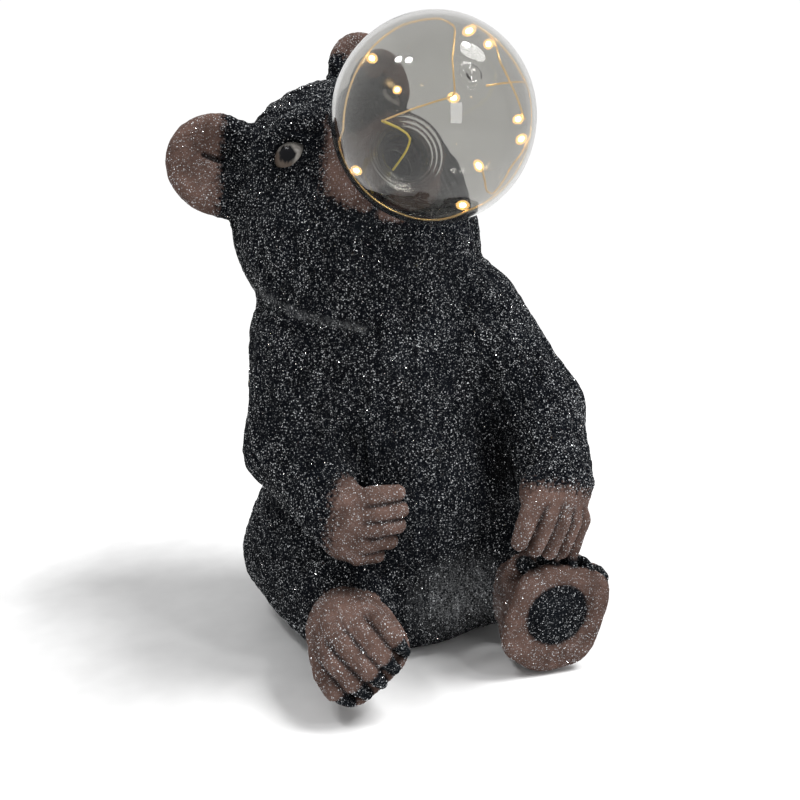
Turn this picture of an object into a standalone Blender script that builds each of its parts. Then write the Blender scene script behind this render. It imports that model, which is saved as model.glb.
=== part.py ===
"""Seated bear garden statue that blows a clear light globe like a bubble.

The bear is one casting, modelled as smooth forms blended into each other and
meshed in one go.  The globe is a blown hollow ball whose neck stands in a round
socket between the bear's lips.  Metres, +Z up.  The bear faces -Y, so its left
side is at +X.  The origin is the centre of the bounding box at the underside.
"""

import math

import bmesh
import bpy
import numpy as np
from mathutils import Vector

# Driving sizes of the bear, in metres
FIGURE_HEIGHT = 0.350
MESH_STEP = 0.0022
FACE_BUDGET = 8200

# Driving sizes of the light globe, in metres
GLOBE_DIAMETER = 0.095
GLOBE_WALL = 0.0018
NECK_DIAMETER = 0.0265
NECK_BORE = 0.0200
NECK_LENGTH = 0.0190
NECK_SHOWN = 0.0028
RIB_RISE = 0.0006
RIB_COUNT = 2
PIP_DIAMETER = 0.008
PIP_RISE = 0.0012
GLOBE_SIDES = 26
GLOBE_RINGS = 8

# Fit of the globe in the mouth, in metres
SOCKET_CLEARANCE = 0.0004
SOCKET_END_ROOM = 0.0100
SOCKET_SIDES = 26
LIP_GAP = 0.0010

# Locks of fur round the ruff: how many, and their first place and pitch in degrees
LOCK_COUNT = 11
LOCK_START = -42.0
LOCK_PITCH = 24.0

# The figure's forms are placed in shares of its height, from the floor up
SHARES = 36.65
SHARE = FIGURE_HEIGHT / SHARES

# Head pose: the mouth's place in shares, and the turn of the head and the globe in degrees
MOUTH = np.array([0.0, -1.8, 28.6])
HEAD_TURN = 4.0
HEAD_NOD = 18.0
HEAD_TILT = 29.0
MOUTH_IN_HEAD = np.array([0.0, 7.7, -1.4])
GLOBE_TURN = -4.0
GLOBE_NOD = 18.0

# Joints of the body in shares: right side first, then left
SHOULDERS = ((-4.7, 1.8, 18.4), (6.0, 1.2, 19.2))
ELBOWS = ((-6.0, -0.2, 12.7), (8.3, -2.9, 14.3))
WRISTS = ((-5.2, -4.4, 10.4), (7.2, -7.4, 11.2))
HIPS = ((-3.6, 3.6, 4.9), (5.6, 4.0, 4.8))
ANKLES = ((-4.1, -3.4, 3.4), (7.0, -5.0, 4.0))
SHOULDER_RADII = (3.1, 3.2)
ELBOW_RADIUS = 2.6
WRIST_RADIUS = 1.9
HIP_RADII = (4.6, 4.9)
ANKLE_RADII = (2.6, 2.9)

# Paws: the palm's root, the ways that the fingers and the thumb side point, the side of the
# knuckles, the palm's middle towards the thumb side and half width, and each fingertip's place
# towards the thumb side and reach
PALMS = ((-5.2, -5.2, 9.8), (6.8, -7.9, 11.5))
FINGER_WAYS = ((1.0, -0.35, -0.1), (-0.22, -0.35, -1.0))
THUMB_WAYS = ((0.0, 0.0, 1.0), (-0.93, -0.37, 0.0))
KNUCKLE_SIDES = (1.0, -1.0)
PALM_SHAPES = ((-0.1, 2.1), (0.3, 2.5))
FINGER_TIPS = (((-1.83, 2.4), (-0.95, 3.05), (0.0, 3.4), (0.85, 3.45), (1.75, 3.2)),
               ((-1.9, 3.7), (-0.8, 3.85), (0.3, 3.95), (1.4, 3.85), (2.5, 3.6)))

# Feet: the sole's middle, the ways that the toes and the instep point, and the foot's scale
SOLES = ((-4.2, -6.9, 2.9), (6.7, -8.8, 3.5))
TOE_WAYS = ((0.1, -0.93, -0.28), (0.24, -0.1, 1.0))
INSTEP_WAYS = ((-0.65, -0.27, 0.71), (0.1, 1.0, 0.1))
FOOT_SCALES = (0.95, 1.13)

# The fold under the jowls, from the right side of the neck to its front
JOWL_FOLD = ((-7.6, 5.0, 21.3), (-6.9, 0.3, 20.6), (-5.4, -1.5, 19.5), (-3.2, -1.7, 19.3),
             (-1.8, -1.9, 19.6))


def unit(vector):
    """Return the vector at length one."""
    vector = np.asarray(vector, dtype=float)
    return vector / np.linalg.norm(vector)


def facing(turn, nod):
    """Return the direction that a turn to the left and a nod upwards give."""
    turn, nod = math.radians(turn), math.radians(nod)
    return np.array([math.sin(turn) * math.cos(nod), -math.cos(turn) * math.cos(nod), math.sin(nod)])


def head_axes():
    """Return the head's left, forward and up directions as the rows of a matrix."""
    forward = facing(HEAD_TURN, HEAD_NOD)
    level = unit(np.cross(forward, (0.0, 0.0, -1.0)))
    level = level * math.copysign(1.0, level[0])
    upright = np.cross(forward, level)
    tilt = math.radians(HEAD_TILT)
    left = math.cos(tilt) * level + math.sin(tilt) * upright
    return np.array([left, forward, np.cross(forward, left)])


HEAD = head_axes()
HEAD_CENTRE = MOUTH - MOUTH_IN_HEAD @ HEAD
GLOBE_WAY = facing(GLOBE_TURN, GLOBE_NOD)
GLOBE_CENTRE = MOUTH * SHARE + GLOBE_WAY * (NECK_SHOWN + GLOBE_DIAMETER / 2.0)


# Distance functions of the plain forms

def ball(points, centre, radii, axes=None):
    """Return the distance to an ellipsoid."""
    local = points - np.asarray(centre)
    if axes is not None:
        local = local @ axes.T
    scaled = local / np.asarray(radii)
    near = np.linalg.norm(scaled, axis=1)
    steep = np.linalg.norm(scaled / np.asarray(radii), axis=1)
    return near * (near - 1.0) / np.maximum(steep, 1e-6)


def limb(points, start, end, start_radius, end_radius):
    """Return the distance to a round tapering bar."""
    start = np.asarray(start, dtype=float)
    along = np.asarray(end, dtype=float) - start
    share = np.clip((points - start) @ along / (along @ along), 0.0, 1.0)
    gap = np.linalg.norm(points - start - share[:, None] * along, axis=1)
    return gap - (start_radius + (end_radius - start_radius) * share)


def trail(points, stops, radii):
    """Return the distance to a chain of bars through the stops."""
    result = limb(points, stops[0], stops[1], radii[0], radii[1])
    for index in range(1, len(stops) - 1):
        piece = limb(points, stops[index], stops[index + 1], radii[index], radii[index + 1])
        result = np.minimum(result, piece)
    return result


def join(first, second, blend):
    """Blend two forms into one with a soft valley between them."""
    mix = np.clip(0.5 + 0.5 * (second - first) / blend, 0.0, 1.0)
    return second * (1.0 - mix) + first * mix - blend * mix * (1.0 - mix)


def cut(first, second, blend):
    """Take the second form out of the first with a soft edge."""
    return -join(-first, second, blend)


def carve(distance, points, stops, width, depth):
    """Press a groove along the stops into the surface; a negative depth raises a ridge."""
    gap = trail(points, stops, [0.0] * len(stops))
    return distance + depth * np.exp(-((gap / width) ** 2))


def in_frame(points, origin, axes):
    """Return the points in a frame whose axes are the rows of a matrix."""
    return (points - np.asarray(origin)) @ np.asarray(axes).T


# The figure

def torso(points):
    """Return the sitting body: belly, chest and the thick neck."""
    body = ball(points, (1.6, 2.5, 7.4), (8.6, 7.1, 8.6))
    body = join(body, ball(points, (1.2, 2.5, 2.4), (7.4, 6.6, 3.6)), 2.0)
    body = join(body, ball(points, (0.9, 3.2, 16.0), (6.9, 6.2, 7.6)), 3.0)
    return join(body, ball(points, (-0.2, 4.2, 24.0), (7.5, 6.1, 5.8)), 2.5)


def head(points):
    """Return the head with its muzzle, cheeks, brows, nose and ears."""
    local = in_frame(points, HEAD_CENTRE, HEAD)
    form = ball(local, (0.0, 0.0, 0.5), (6.1, 5.8, 5.4))
    muzzle = limb(local, (0.0, 2.6, -0.8), (0.0, 5.9, -1.2), 3.7, 2.7)
    form = join(form, muzzle, 1.6)
    bridge = limb(local, (0.0, 3.0, 1.3), (0.0, 6.1, 1.5), 2.1, 1.35)
    form = join(form, bridge, 0.9)
    form = join(form, ball(local, (0.0, 6.7, 2.3), (1.6, 1.35, 1.1)), 0.5)
    for side in (-1.0, 1.0):
        cheek = ball(local, (side * 3.8, 0.2, -2.6), (3.4, 3.8, 3.4))
        form = join(form, cheek, 2.0)
        brow = limb(local, (side * 2.0, 4.2, 3.2), (side * 4.6, 2.9, 3.2), 0.9, 0.7)
        form = join(form, brow, 1.0)
        form = join(form, ear(local, side), 0.9)
        form = eye(form, local, side)
        lips = ((side * 4.0, 6.0, -3.3), (side * 2.9, 6.6, -3.0), (side * 1.6, 7.6, -2.3))
        form = carve(form, local, lips, 0.32, 0.35)
    return form


def eye(form, local, side):
    """Sink an almond-shaped socket into the head and set the eyeball in it."""
    centre = np.array([side * 3.85, 4.25, 2.25])
    outward = unit((side * 0.56, 0.80, 0.20))
    along = unit(np.cross(outward, (0.0, -0.1, 1.0)))
    axes = np.array([along, outward, np.cross(along, outward)])
    form = cut(form, ball(local, centre + 0.25 * outward, (1.05, 0.6, 0.62), axes), 0.2)
    return np.minimum(form, ball(local, centre - 0.35 * outward, (0.72, 0.72, 0.62), axes))


def ear(local, side):
    """Return one round ear, dished at the front."""
    outward = unit((side * 0.78, -0.10, 0.62))
    front = unit((side * 0.30, 0.95, 0.0))
    across = np.cross(front, outward)
    axes = np.array([outward, unit(across), np.cross(unit(across), outward)])
    centre = np.array([side * 5.9, 0.3, 4.35])
    shell = ball(local, centre, (3.0, 2.9, 1.25), axes)
    dish = ball(local, centre + 1.35 * front + 0.2 * outward, (2.35, 2.3, 1.2), axes)
    form = cut(shell, dish, 0.7)
    crease = (centre - 2.4 * outward + 0.5 * front, centre + 0.6 * outward + 0.2 * front)
    return carve(form, local, crease, 0.3, 0.5)


def square_axes(way, aside):
    """Return three square directions as rows: the way, the part of aside square to it, and across."""
    way = unit(way)
    aside = unit(np.asarray(aside) - way * np.dot(aside, way))
    return way, aside, np.cross(way, aside)


def paw(points, side):
    """Return a hand with five fingers side by side."""
    tips_way, thumb_way, back_way = square_axes(FINGER_WAYS[side], THUMB_WAYS[side])
    local = in_frame(points, PALMS[side], (thumb_way, tips_way, KNUCKLE_SIDES[side] * back_way))
    middle, half_width = PALM_SHAPES[side]
    form = ball(local, (middle, 0.9, 0.0), (half_width, 1.9, 1.15))
    for aside, reach in FINGER_TIPS[side]:
        root = (0.6 * aside, 0.5, 0.25)
        knuckle = (0.93 * aside, 0.56 * reach, 0.55 - 0.07 * aside ** 2)
        tip = (aside, reach, -0.15 - 0.04 * aside ** 2)
        form = join(form, trail(local, (root, knuckle, tip), (0.55, 0.56, 0.45)), 0.14)
    return form


def foot(points, side):
    """Return a foot with a flat sole, five toes with claws and a round pad."""
    toes_way, instep_way, across_way = square_axes(TOE_WAYS[side], INSTEP_WAYS[side])
    local = in_frame(points, SOLES[side], (across_way, toes_way, instep_way)) / FOOT_SCALES[side]
    form = limb(local, (0.0, -1.0, 1.2), (0.0, 0.3, 1.2), 2.25, 2.4)
    form = join(form, sole_plate(local), 0.25)
    for index in range(5):
        place = index - 2.0
        reach = 2.45 - 0.13 * place ** 2
        root = (place * 0.82, -0.5, 3.1 - 0.24 * place ** 2)
        knuckle = (place * 1.0, 0.55 * reach, 2.9 - 0.2 * place ** 2)
        tip = (place * 1.04, reach, 1.6)
        form = join(form, trail(local, (root, knuckle, tip), (0.58, 0.64, 0.6)), 0.12)
        claw = limb(local, (place * 1.04, reach + 0.3, 1.15), (place * 1.0, reach + 0.42, 0.5), 0.42, 0.3)
        form = join(form, claw, 0.1)
    form = cut(form, local[:, 2], 0.3)
    ring = np.hypot(np.hypot(local[:, 0] - 0.1, local[:, 1] - 0.2) - 1.55, local[:, 2])
    return (form + 0.22 * np.exp(-((ring / 0.26) ** 2))) * FOOT_SCALES[side]


def sole_plate(local):
    """Return the broad low plate of a foot's sole, with rounded corners."""
    around = np.abs((local[:, :2] - (0.1, 0.1)) / (2.7, 2.75)) ** 3.4
    rim = (np.sum(around, axis=1) ** (1.0 / 3.4) - 1.0) * 2.7
    return cut(rim, 0.5 - np.abs(local[:, 2]), 0.35)


def bear(points):
    """Return the distance from points, in shares, to the surface of the bear."""
    form = locks(torso(points), points)
    form = join(form, head(points), 1.6)
    for side in (0, 1):
        thigh = limb(points, HIPS[side], ANKLES[side], HIP_RADII[side], ANKLE_RADII[side])
        form = join(form, thigh, 1.4)
        upper_arm = limb(points, SHOULDERS[side], ELBOWS[side], SHOULDER_RADII[side], ELBOW_RADIUS)
        form = join(form, upper_arm, 1.8)
        forearm = limb(points, ELBOWS[side], WRISTS[side], ELBOW_RADIUS, WRIST_RADIUS)
        form = join(form, forearm, 0.8)
    for side in (0, 1):
        form = join(form, paw(points, side), 0.5)
        form = join(form, foot(points, side), 0.5)
    form = carve(form, points, JOWL_FOLD, 0.5, 0.3)
    seat = ball(points, GLOBE_CENTRE / SHARE, [(GLOBE_DIAMETER / 2.0 + LIP_GAP) / SHARE] * 3)
    return cut(form, seat, 0.2)


def locks(form, points):
    """Comb slanting locks of fur into the ruff, round the sides and the nape."""
    for index in range(LOCK_COUNT):
        turn = math.radians(LOCK_START + LOCK_PITCH * index)
        stops = []
        for drop in (0.0, 0.5, 1.0):
            swing = turn + math.radians(14.0) * drop
            reach = 1.0 - 0.03 * drop
            stops.append((-0.2 + 7.6 * reach * math.cos(swing), 4.2 + 6.4 * reach * math.sin(swing),
                          26.0 - 5.5 * drop))
        form = carve(form, points, stops, 0.4, 0.28)
    return form


# Meshing

def surface(distance, low, high, step):
    """Mesh the zero level of a distance function with one quad for each crossed grid edge."""
    counts = np.ceil((high - low) / step).astype(int) + 1
    lines = [low[axis] + step * np.arange(counts[axis]) for axis in range(3)]
    values = near_values(distance, lines, step)
    inside = values < 0.0
    corners = [(i, j, k) for i in (0, 1) for j in (0, 1) for k in (0, 1)]
    cells = tuple(count - 1 for count in counts)

    def corner(array, offset):
        return array[tuple(slice(o, o + c) for o, c in zip(offset, cells))]

    total = sum(corner(inside, offset).astype(np.int8) for offset in corners)
    cell_at = np.argwhere((total > 0) & (total < 8))
    index = np.full(cells, -1, dtype=np.int64)
    index[tuple(cell_at.T)] = np.arange(len(cell_at))
    place = np.zeros((len(cell_at), 3))
    weight = np.zeros(len(cell_at))
    for first in corners:
        for axis in range(3):
            if first[axis] == 1:
                continue
            second = tuple(value + (1 if axis == other else 0) for other, value in enumerate(first))
            start = values[tuple((cell_at + first).T)]
            end = values[tuple((cell_at + second).T)]
            crossed = (start < 0.0) != (end < 0.0)
            share = np.where(crossed, start / np.where(crossed, start - end, 1.0), 0.0)
            spot = np.tile(np.array(first, dtype=float), (len(cell_at), 1))
            spot[:, axis] += share
            place += spot * crossed[:, None]
            weight += crossed
    points = low + step * (cell_at + place / weight[:, None])
    faces = []
    for axis in range(3):
        one, two = (axis + 1) % 3, (axis + 2) % 3
        ahead = np.take(inside, np.arange(1, counts[axis]), axis)
        behind = np.take(inside, np.arange(counts[axis] - 1), axis)
        edge_at = np.argwhere(ahead != behind)
        whole = (edge_at[:, one] > 0) & (edge_at[:, two] > 0)
        whole &= (edge_at[:, one] < cells[one]) & (edge_at[:, two] < cells[two])
        edge_at = edge_at[whole]
        ring = []
        for back_one, back_two in ((1, 1), (0, 1), (0, 0), (1, 0)):
            around = edge_at.copy()
            around[:, one] -= back_one
            around[:, two] -= back_two
            ring.append(index[tuple(around.T)])
        quads = np.stack(ring, axis=1)
        leaving = behind[tuple(edge_at.T)]
        quads[~leaving] = quads[~leaving][:, ::-1]
        faces.append(quads)
    return settle(distance, points, step), np.concatenate(faces)


def near_values(distance, lines, step):
    """Return the distance on the grid, worked out only where the surface is near."""
    coarse = 4
    wide = [line[::coarse] for line in lines]
    wide = [np.append(line, line[-1] + coarse * step) for line in wide]
    grid = np.stack(np.meshgrid(*wide, indexing="ij"), axis=-1)
    rough = distance(grid.reshape(-1, 3)).reshape(grid.shape[:3])
    spread = rough
    for axis in range(3):
        spread = np.repeat(spread, coarse, axis=axis)
    spread = spread[tuple(slice(0, len(line)) for line in lines)]
    near = np.argwhere(np.abs(spread) < 2.6 * coarse * step)
    values = np.where(spread < 0.0, -1.0, 1.0) * step
    spots = np.stack([lines[axis][near[:, axis]] for axis in range(3)], axis=1)
    values[tuple(near.T)] = distance(spots)
    return values


def slope(distance, points, reach):
    """Return the direction in which the distance grows at each point."""
    result = np.empty_like(points)
    for axis in range(3):
        shift = np.zeros(3)
        shift[axis] = reach
        result[:, axis] = distance(points + shift) - distance(points - shift)
    return result / (2.0 * reach)


def settle(distance, points, step):
    """Slide mesh points onto the true surface, by less than half a face."""
    for _ in range(2):
        value = distance(points)
        away = slope(distance, points, 0.1 * step)
        size = np.maximum(np.sum(away * away, axis=1), 0.2)
        move = -np.clip(value, -0.4 * step, 0.4 * step) / size
        points = points + move[:, None] * away
    return points


# Objects

def material(name, colour, roughness, metallic=0.0, transmission=0.0):
    """Return a Principled material."""
    result = bpy.data.materials.new(name)
    result.use_nodes = True
    shader = result.node_tree.nodes["Principled BSDF"]
    shader.inputs["Base Color"].default_value = (*colour, 1.0)
    shader.inputs["Roughness"].default_value = roughness
    shader.inputs["Metallic"].default_value = metallic
    shader.inputs["Transmission Weight"].default_value = transmission
    result.diffuse_color = (*colour, 1.0)
    return result


def add_object(name, mesh, parent, finish=None):
    """Put a mesh in the scene under the statue's empty."""
    item = bpy.data.objects.new(name, mesh)
    bpy.context.collection.objects.link(item)
    item.parent = parent
    if finish:
        mesh.materials.append(finish)
    return item


def add_cutter(name, mesh, parent):
    """Put a mesh in the scene that only cuts others."""
    item = add_object(name, mesh, parent)
    item.hide_render = True
    item.display_type = "WIRE"
    return item


def mesh_from(name, shape):
    """Turn a bmesh into a mesh with its faces pointing out."""
    bmesh.ops.recalc_face_normals(shape, faces=shape.faces[:])
    mesh = bpy.data.meshes.new(name)
    shape.to_mesh(mesh)
    shape.free()
    return mesh


def bear_mesh():
    """Return the bear's fine mesh, before its faces are thinned."""
    low = np.array([-14.0, -13.0, -2.5])
    high = np.array([13.0, 13.5, SHARES + 1.5])
    points, faces = surface(bear, low, high, MESH_STEP / SHARE)
    mesh = bpy.data.meshes.new("bear")
    mesh.from_pydata((points * SHARE).tolist(), [], faces.tolist())
    mesh.update()
    mesh.shade_smooth()
    return mesh


def globe_profile():
    """Return the globe's half outline as radius and height: outside, round the neck's end, inside."""
    ball_radius = GLOBE_DIAMETER / 2.0
    neck = NECK_DIAMETER / 2.0
    bore = NECK_BORE / 2.0
    hollow = ball_radius - GLOBE_WALL
    first = math.asin(PIP_DIAMETER / 2.0 / ball_radius)
    last = math.pi - math.asin(neck / ball_radius)
    profile = [(0.0, ball_radius + PIP_RISE), (PIP_DIAMETER / 4.0, ball_radius + 0.7 * PIP_RISE)]
    for index in range(GLOBE_RINGS + 1):
        angle = first + (last - first) * index / GLOBE_RINGS
        profile.append((ball_radius * math.sin(angle), ball_radius * math.cos(angle)))
    neck_end = -ball_radius - NECK_LENGTH
    pitch = NECK_LENGTH / (RIB_COUNT + 1.0)
    for index in range(RIB_COUNT):
        middle = -ball_radius - pitch * (index + 1.0)
        profile.append((neck, middle + 2.0 * RIB_RISE))
        profile.append((neck + RIB_RISE, middle))
        profile.append((neck, middle - 2.0 * RIB_RISE))
    profile.append((neck, neck_end))
    profile.append((bore, neck_end))
    last = math.pi - math.asin(bore / hollow)
    for index in range(GLOBE_RINGS + 1):
        angle = last * (1.0 - index / GLOBE_RINGS)
        profile.append((hollow * math.sin(angle), hollow * math.cos(angle)))
    return profile


def globe_mesh():
    """Return the blown globe, turned about its own Z axis."""
    shape = bmesh.new()
    verts = [shape.verts.new((radius, 0.0, height)) for radius, height in globe_profile()]
    edges = [shape.edges.new(pair) for pair in zip(verts, verts[1:])]
    bmesh.ops.spin(shape, geom=verts + edges, cent=(0.0, 0.0, 0.0), axis=(0.0, 0.0, 1.0),
                   angle=math.tau, steps=GLOBE_SIDES, use_merge=True)
    bmesh.ops.remove_doubles(shape, verts=shape.verts[:], dist=1e-6)
    mesh = mesh_from("bubble_globe", shape)
    mesh.shade_smooth()
    mesh.set_sharp_from_angle(angle=math.radians(40.0))
    return mesh


def socket_mesh():
    """Return the bar that bores the globe's socket, with its outer end at the ball's centre."""
    radius = NECK_DIAMETER / 2.0 + RIB_RISE + SOCKET_CLEARANCE
    depth = GLOBE_DIAMETER / 2.0 + NECK_LENGTH + SOCKET_END_ROOM
    shape = bmesh.new()
    bmesh.ops.create_cone(shape, cap_ends=True, segments=SOCKET_SIDES, radius1=radius, radius2=radius,
                          depth=depth)
    bmesh.ops.translate(shape, verts=shape.verts[:], vec=(0.0, 0.0, -depth / 2.0))
    return mesh_from("socket cutter", shape)


def floor_mesh():
    """Return the slab that cuts the underside flat."""
    side = 2.0 * FIGURE_HEIGHT
    shape = bmesh.new()
    bmesh.ops.create_cube(shape, size=side)
    bmesh.ops.translate(shape, verts=shape.verts[:], vec=(0.0, 0.0, -side / 2.0))
    return mesh_from("floor cutter", shape)


def add_cut(item, cutter):
    """Cut one object by another."""
    modifier = item.modifiers.new(cutter.name, "BOOLEAN")
    modifier.operation = "DIFFERENCE"
    modifier.solver = "EXACT"
    modifier.object = cutter


def middle_of(items):
    """Return the middle of the objects' common box, level with their underside."""
    graph = bpy.context.evaluated_depsgraph_get()
    spots = []
    for item in items:
        shown = item.evaluated_get(graph)
        spots += [item.matrix_world @ vertex.co for vertex in shown.data.vertices]
    low = [min(spot[axis] for spot in spots) for axis in range(3)]
    high = [max(spot[axis] for spot in spots) for axis in range(3)]
    return Vector(((low[0] + high[0]) / 2.0, (low[1] + high[1]) / 2.0, low[2]))


def main():
    """Build the statue."""
    for item in list(bpy.data.objects):
        bpy.data.objects.remove(item, do_unlink=True)
    statue = bpy.data.objects.new("statue", None)
    bpy.context.collection.objects.link(statue)
    coat = material("glittered black coat", (0.012, 0.014, 0.019), 0.8)
    glass = material("clear blown globe", (0.95, 0.94, 0.92), 0.03, transmission=1.0)

    figure = add_object("bear", bear_mesh(), statue, coat)
    globe = add_object("bubble_globe", globe_mesh(), statue, glass)
    socket = add_cutter("socket_cutter", socket_mesh(), statue)
    ground = add_cutter("floor_cutter", floor_mesh(), statue)
    for item in (globe, socket):
        item.location = GLOBE_CENTRE
        item.rotation_euler = Vector(GLOBE_WAY).to_track_quat("Z", "Y").to_euler()

    closing = figure.modifiers.new("one closed skin", "REMESH")
    closing.mode = "VOXEL"
    closing.voxel_size = MESH_STEP
    closing.use_smooth_shade = True
    bpy.context.view_layer.update()
    skin = figure.evaluated_get(bpy.context.evaluated_depsgraph_get()).data
    thinning = figure.modifiers.new("face budget", "DECIMATE")
    thinning.ratio = min(1.0, FACE_BUDGET / (2.0 * len(skin.polygons)))
    add_cut(figure, ground)
    add_cut(figure, socket)
    bpy.context.view_layer.update()
    statue.location = -middle_of((figure, globe))


main()
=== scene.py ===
"""Visual model of a seated bear garden statue that blows a clear light globe like a bubble.

The bear is one casting: smooth forms blended into each other, meshed in one go, combed with
strands of fur, painted and coated with glitter sand.  The globe is a blown hollow ball whose
ribbed neck stands in the round socket between the lips, with a string of warm lamps inside.
Metres, +Z up.  The bear faces -Y, so its left side is at +X.
"""

import logging
import math
from concurrent.futures import ThreadPoolExecutor
from dataclasses import dataclass
from enum import Enum, IntEnum
from functools import reduce
from typing import Callable, Optional, Sequence

import bmesh
import bpy
import numpy as np
from mathutils import Matrix, Vector


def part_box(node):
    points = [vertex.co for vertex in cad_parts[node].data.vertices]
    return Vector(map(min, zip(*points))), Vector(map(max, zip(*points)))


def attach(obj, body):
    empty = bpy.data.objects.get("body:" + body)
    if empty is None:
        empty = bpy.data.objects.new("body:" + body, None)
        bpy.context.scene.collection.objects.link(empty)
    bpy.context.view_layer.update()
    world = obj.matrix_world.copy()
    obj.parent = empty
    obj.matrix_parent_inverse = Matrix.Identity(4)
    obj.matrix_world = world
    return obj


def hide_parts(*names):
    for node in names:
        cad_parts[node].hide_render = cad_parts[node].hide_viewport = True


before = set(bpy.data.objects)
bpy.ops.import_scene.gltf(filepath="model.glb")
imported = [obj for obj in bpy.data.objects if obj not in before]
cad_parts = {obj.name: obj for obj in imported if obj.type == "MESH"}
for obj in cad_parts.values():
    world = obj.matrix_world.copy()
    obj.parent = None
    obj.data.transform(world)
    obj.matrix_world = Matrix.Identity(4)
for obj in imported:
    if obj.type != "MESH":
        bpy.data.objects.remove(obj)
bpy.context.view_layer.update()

logging.basicConfig(level=logging.INFO, format="%(name)s: %(message)s")
LOG = logging.getLogger("bear statue")

Array = np.ndarray
Field = Callable[[Array], Array]
Colour = tuple[float, float, float]

BODY = "root"
FIGURE_HEIGHT = 0.350
SHARES = 36.65
SHARE = FIGURE_HEIGHT / SHARES
MILLIMETRE = 0.001
THREADS = 4
BLOCK = 20000
CORNER_STEPS = (4, 2, 1)
CORNERS = np.array([(i, j, k) for i in (0, 1) for j in (0, 1) for k in (0, 1)])
MIRRORED = (-1.0, 1.0)
WHITE = (1.0, 1.0, 1.0, 1.0)
# Zones that the coat's colour reads: brown and black paint, where black is also put into the ear
# folds and the valleys of fingers and toes as painted shade;
# pale, painted highlights on the lower belly and the jowl's edge; relief, the strands' height, also
# used for painted light on their ridges; clear, painted shade in folds and round the eyes.
ZONES = ("brown", "black", "pale", "relief", "clear")
FUR_WAY = "comb"
FULL_TURN = (6.28, 6.28, 6.28)


class Slot(Enum):
    """Names of the record's material slots."""

    COAT = "coat"
    GLOBE = "globe"


class Side(IntEnum):
    """The two sides of the bear, as places in its paired sizes."""

    RIGHT = 0
    LEFT = 1


# Vectors and distance functions of the plain forms


def unit(vector: Sequence[float]) -> Array:
    """Return the vector at length one."""
    vector = np.asarray(vector, dtype=float)
    return vector / np.linalg.norm(vector)


def facing(turn: float, nod: float) -> Array:
    """Return the direction that a turn to the left and a nod upwards give, in degrees."""
    turn, nod = math.radians(turn), math.radians(nod)
    level = math.cos(nod)
    return np.array([math.sin(turn) * level, -math.cos(turn) * level, math.sin(nod)])


def mirrored(place: Sequence[float], side: float) -> tuple[float, float, float]:
    """Return a place given for the left side, moved to the other side where side is -1."""
    return side * place[0], place[1], place[2]


def fade(value: Array, start: float, end: float) -> Array:
    """Return 0 before start and 1 after end, with a smooth step between them."""
    share = np.clip((value - start) / (end - start), 0.0, 1.0)
    return share * share * (3.0 - 2.0 * share)


def ball(points: Array, centre: Sequence[float], radii: Sequence[float],
         axes: Optional[Array] = None) -> Array:
    """Return the distance to an ellipsoid.

    Args:
        points: Places to measure from.
        centre: The ellipsoid's middle.
        radii: Its three half lengths.
        axes: Its own axes as the rows of a matrix, if it is turned.

    Returns:
        The signed distance, negative inside.
    """
    local = points - np.asarray(centre)
    if axes is not None:
        local = local @ axes.T
    scaled = local / np.asarray(radii)
    near = np.linalg.norm(scaled, axis=1)
    steep = np.linalg.norm(scaled / np.asarray(radii), axis=1)
    return near * (near - 1.0) / np.maximum(steep, 1e-6)


def limb(points: Array, start: Sequence[float], end: Sequence[float], first: float,
         last: float) -> Array:
    """Return the distance to a round bar that tapers from its first to its last radius."""
    start = np.asarray(start, dtype=float)
    along = np.asarray(end, dtype=float) - start
    share = np.clip((points - start) @ along / (along @ along), 0.0, 1.0)
    gap = np.linalg.norm(points - start - share[:, None] * along, axis=1)
    return gap - (first + (last - first) * share)


def trail(points: Array, stops: Sequence[Sequence[float]],
          radii: Optional[Sequence[float]] = None) -> Array:
    """Return the distance to a chain of bars through the stops, or to the bare line."""
    radii = radii or [0.0] * len(stops)
    bars = zip(stops, stops[1:], radii, radii[1:])
    return np.minimum.reduce([limb(points, *bar) for bar in bars])


def join(first: Array, second: Array, blend: float) -> Array:
    """Blend two forms into one with a soft valley between them."""
    mix = np.clip(0.5 + 0.5 * (second - first) / blend, 0.0, 1.0)
    return second * (1.0 - mix) + first * mix - blend * mix * (1.0 - mix)


def cut(first: Array, second: Array, blend: float) -> Array:
    """Take the second form out of the first with a soft edge."""
    return -join(-first, second, blend)


def carve(form: Array, points: Array, stops: Sequence[Sequence[float]], width: float,
          depth: float) -> Array:
    """Press a groove along the stops into the surface."""
    return form + depth * np.exp(-((trail(points, stops) / width) ** 2))


def in_frame(points: Array, origin: Sequence[float], axes: Sequence[Array]) -> Array:
    """Return the points in a frame whose axes are the rows of a matrix."""
    return (points - np.asarray(origin)) @ np.asarray(axes).T


def square_axes(way: Sequence[float], aside: Sequence[float]) -> tuple[Array, Array, Array]:
    """Return three square directions: the way, the part of aside square to it, and across."""
    way = unit(way)
    aside = unit(np.asarray(aside) - way * np.dot(aside, way))
    return way, aside, np.cross(way, aside)


def in_blocks(function: Field, points: Array) -> Array:
    """Work a function of the points out in blocks, on several threads."""
    blocks = [points[start:start + BLOCK] for start in range(0, len(points), BLOCK)]
    with ThreadPoolExecutor(max_workers=THREADS) as pool:
        return np.concatenate(list(pool.map(function, blocks)))


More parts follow.
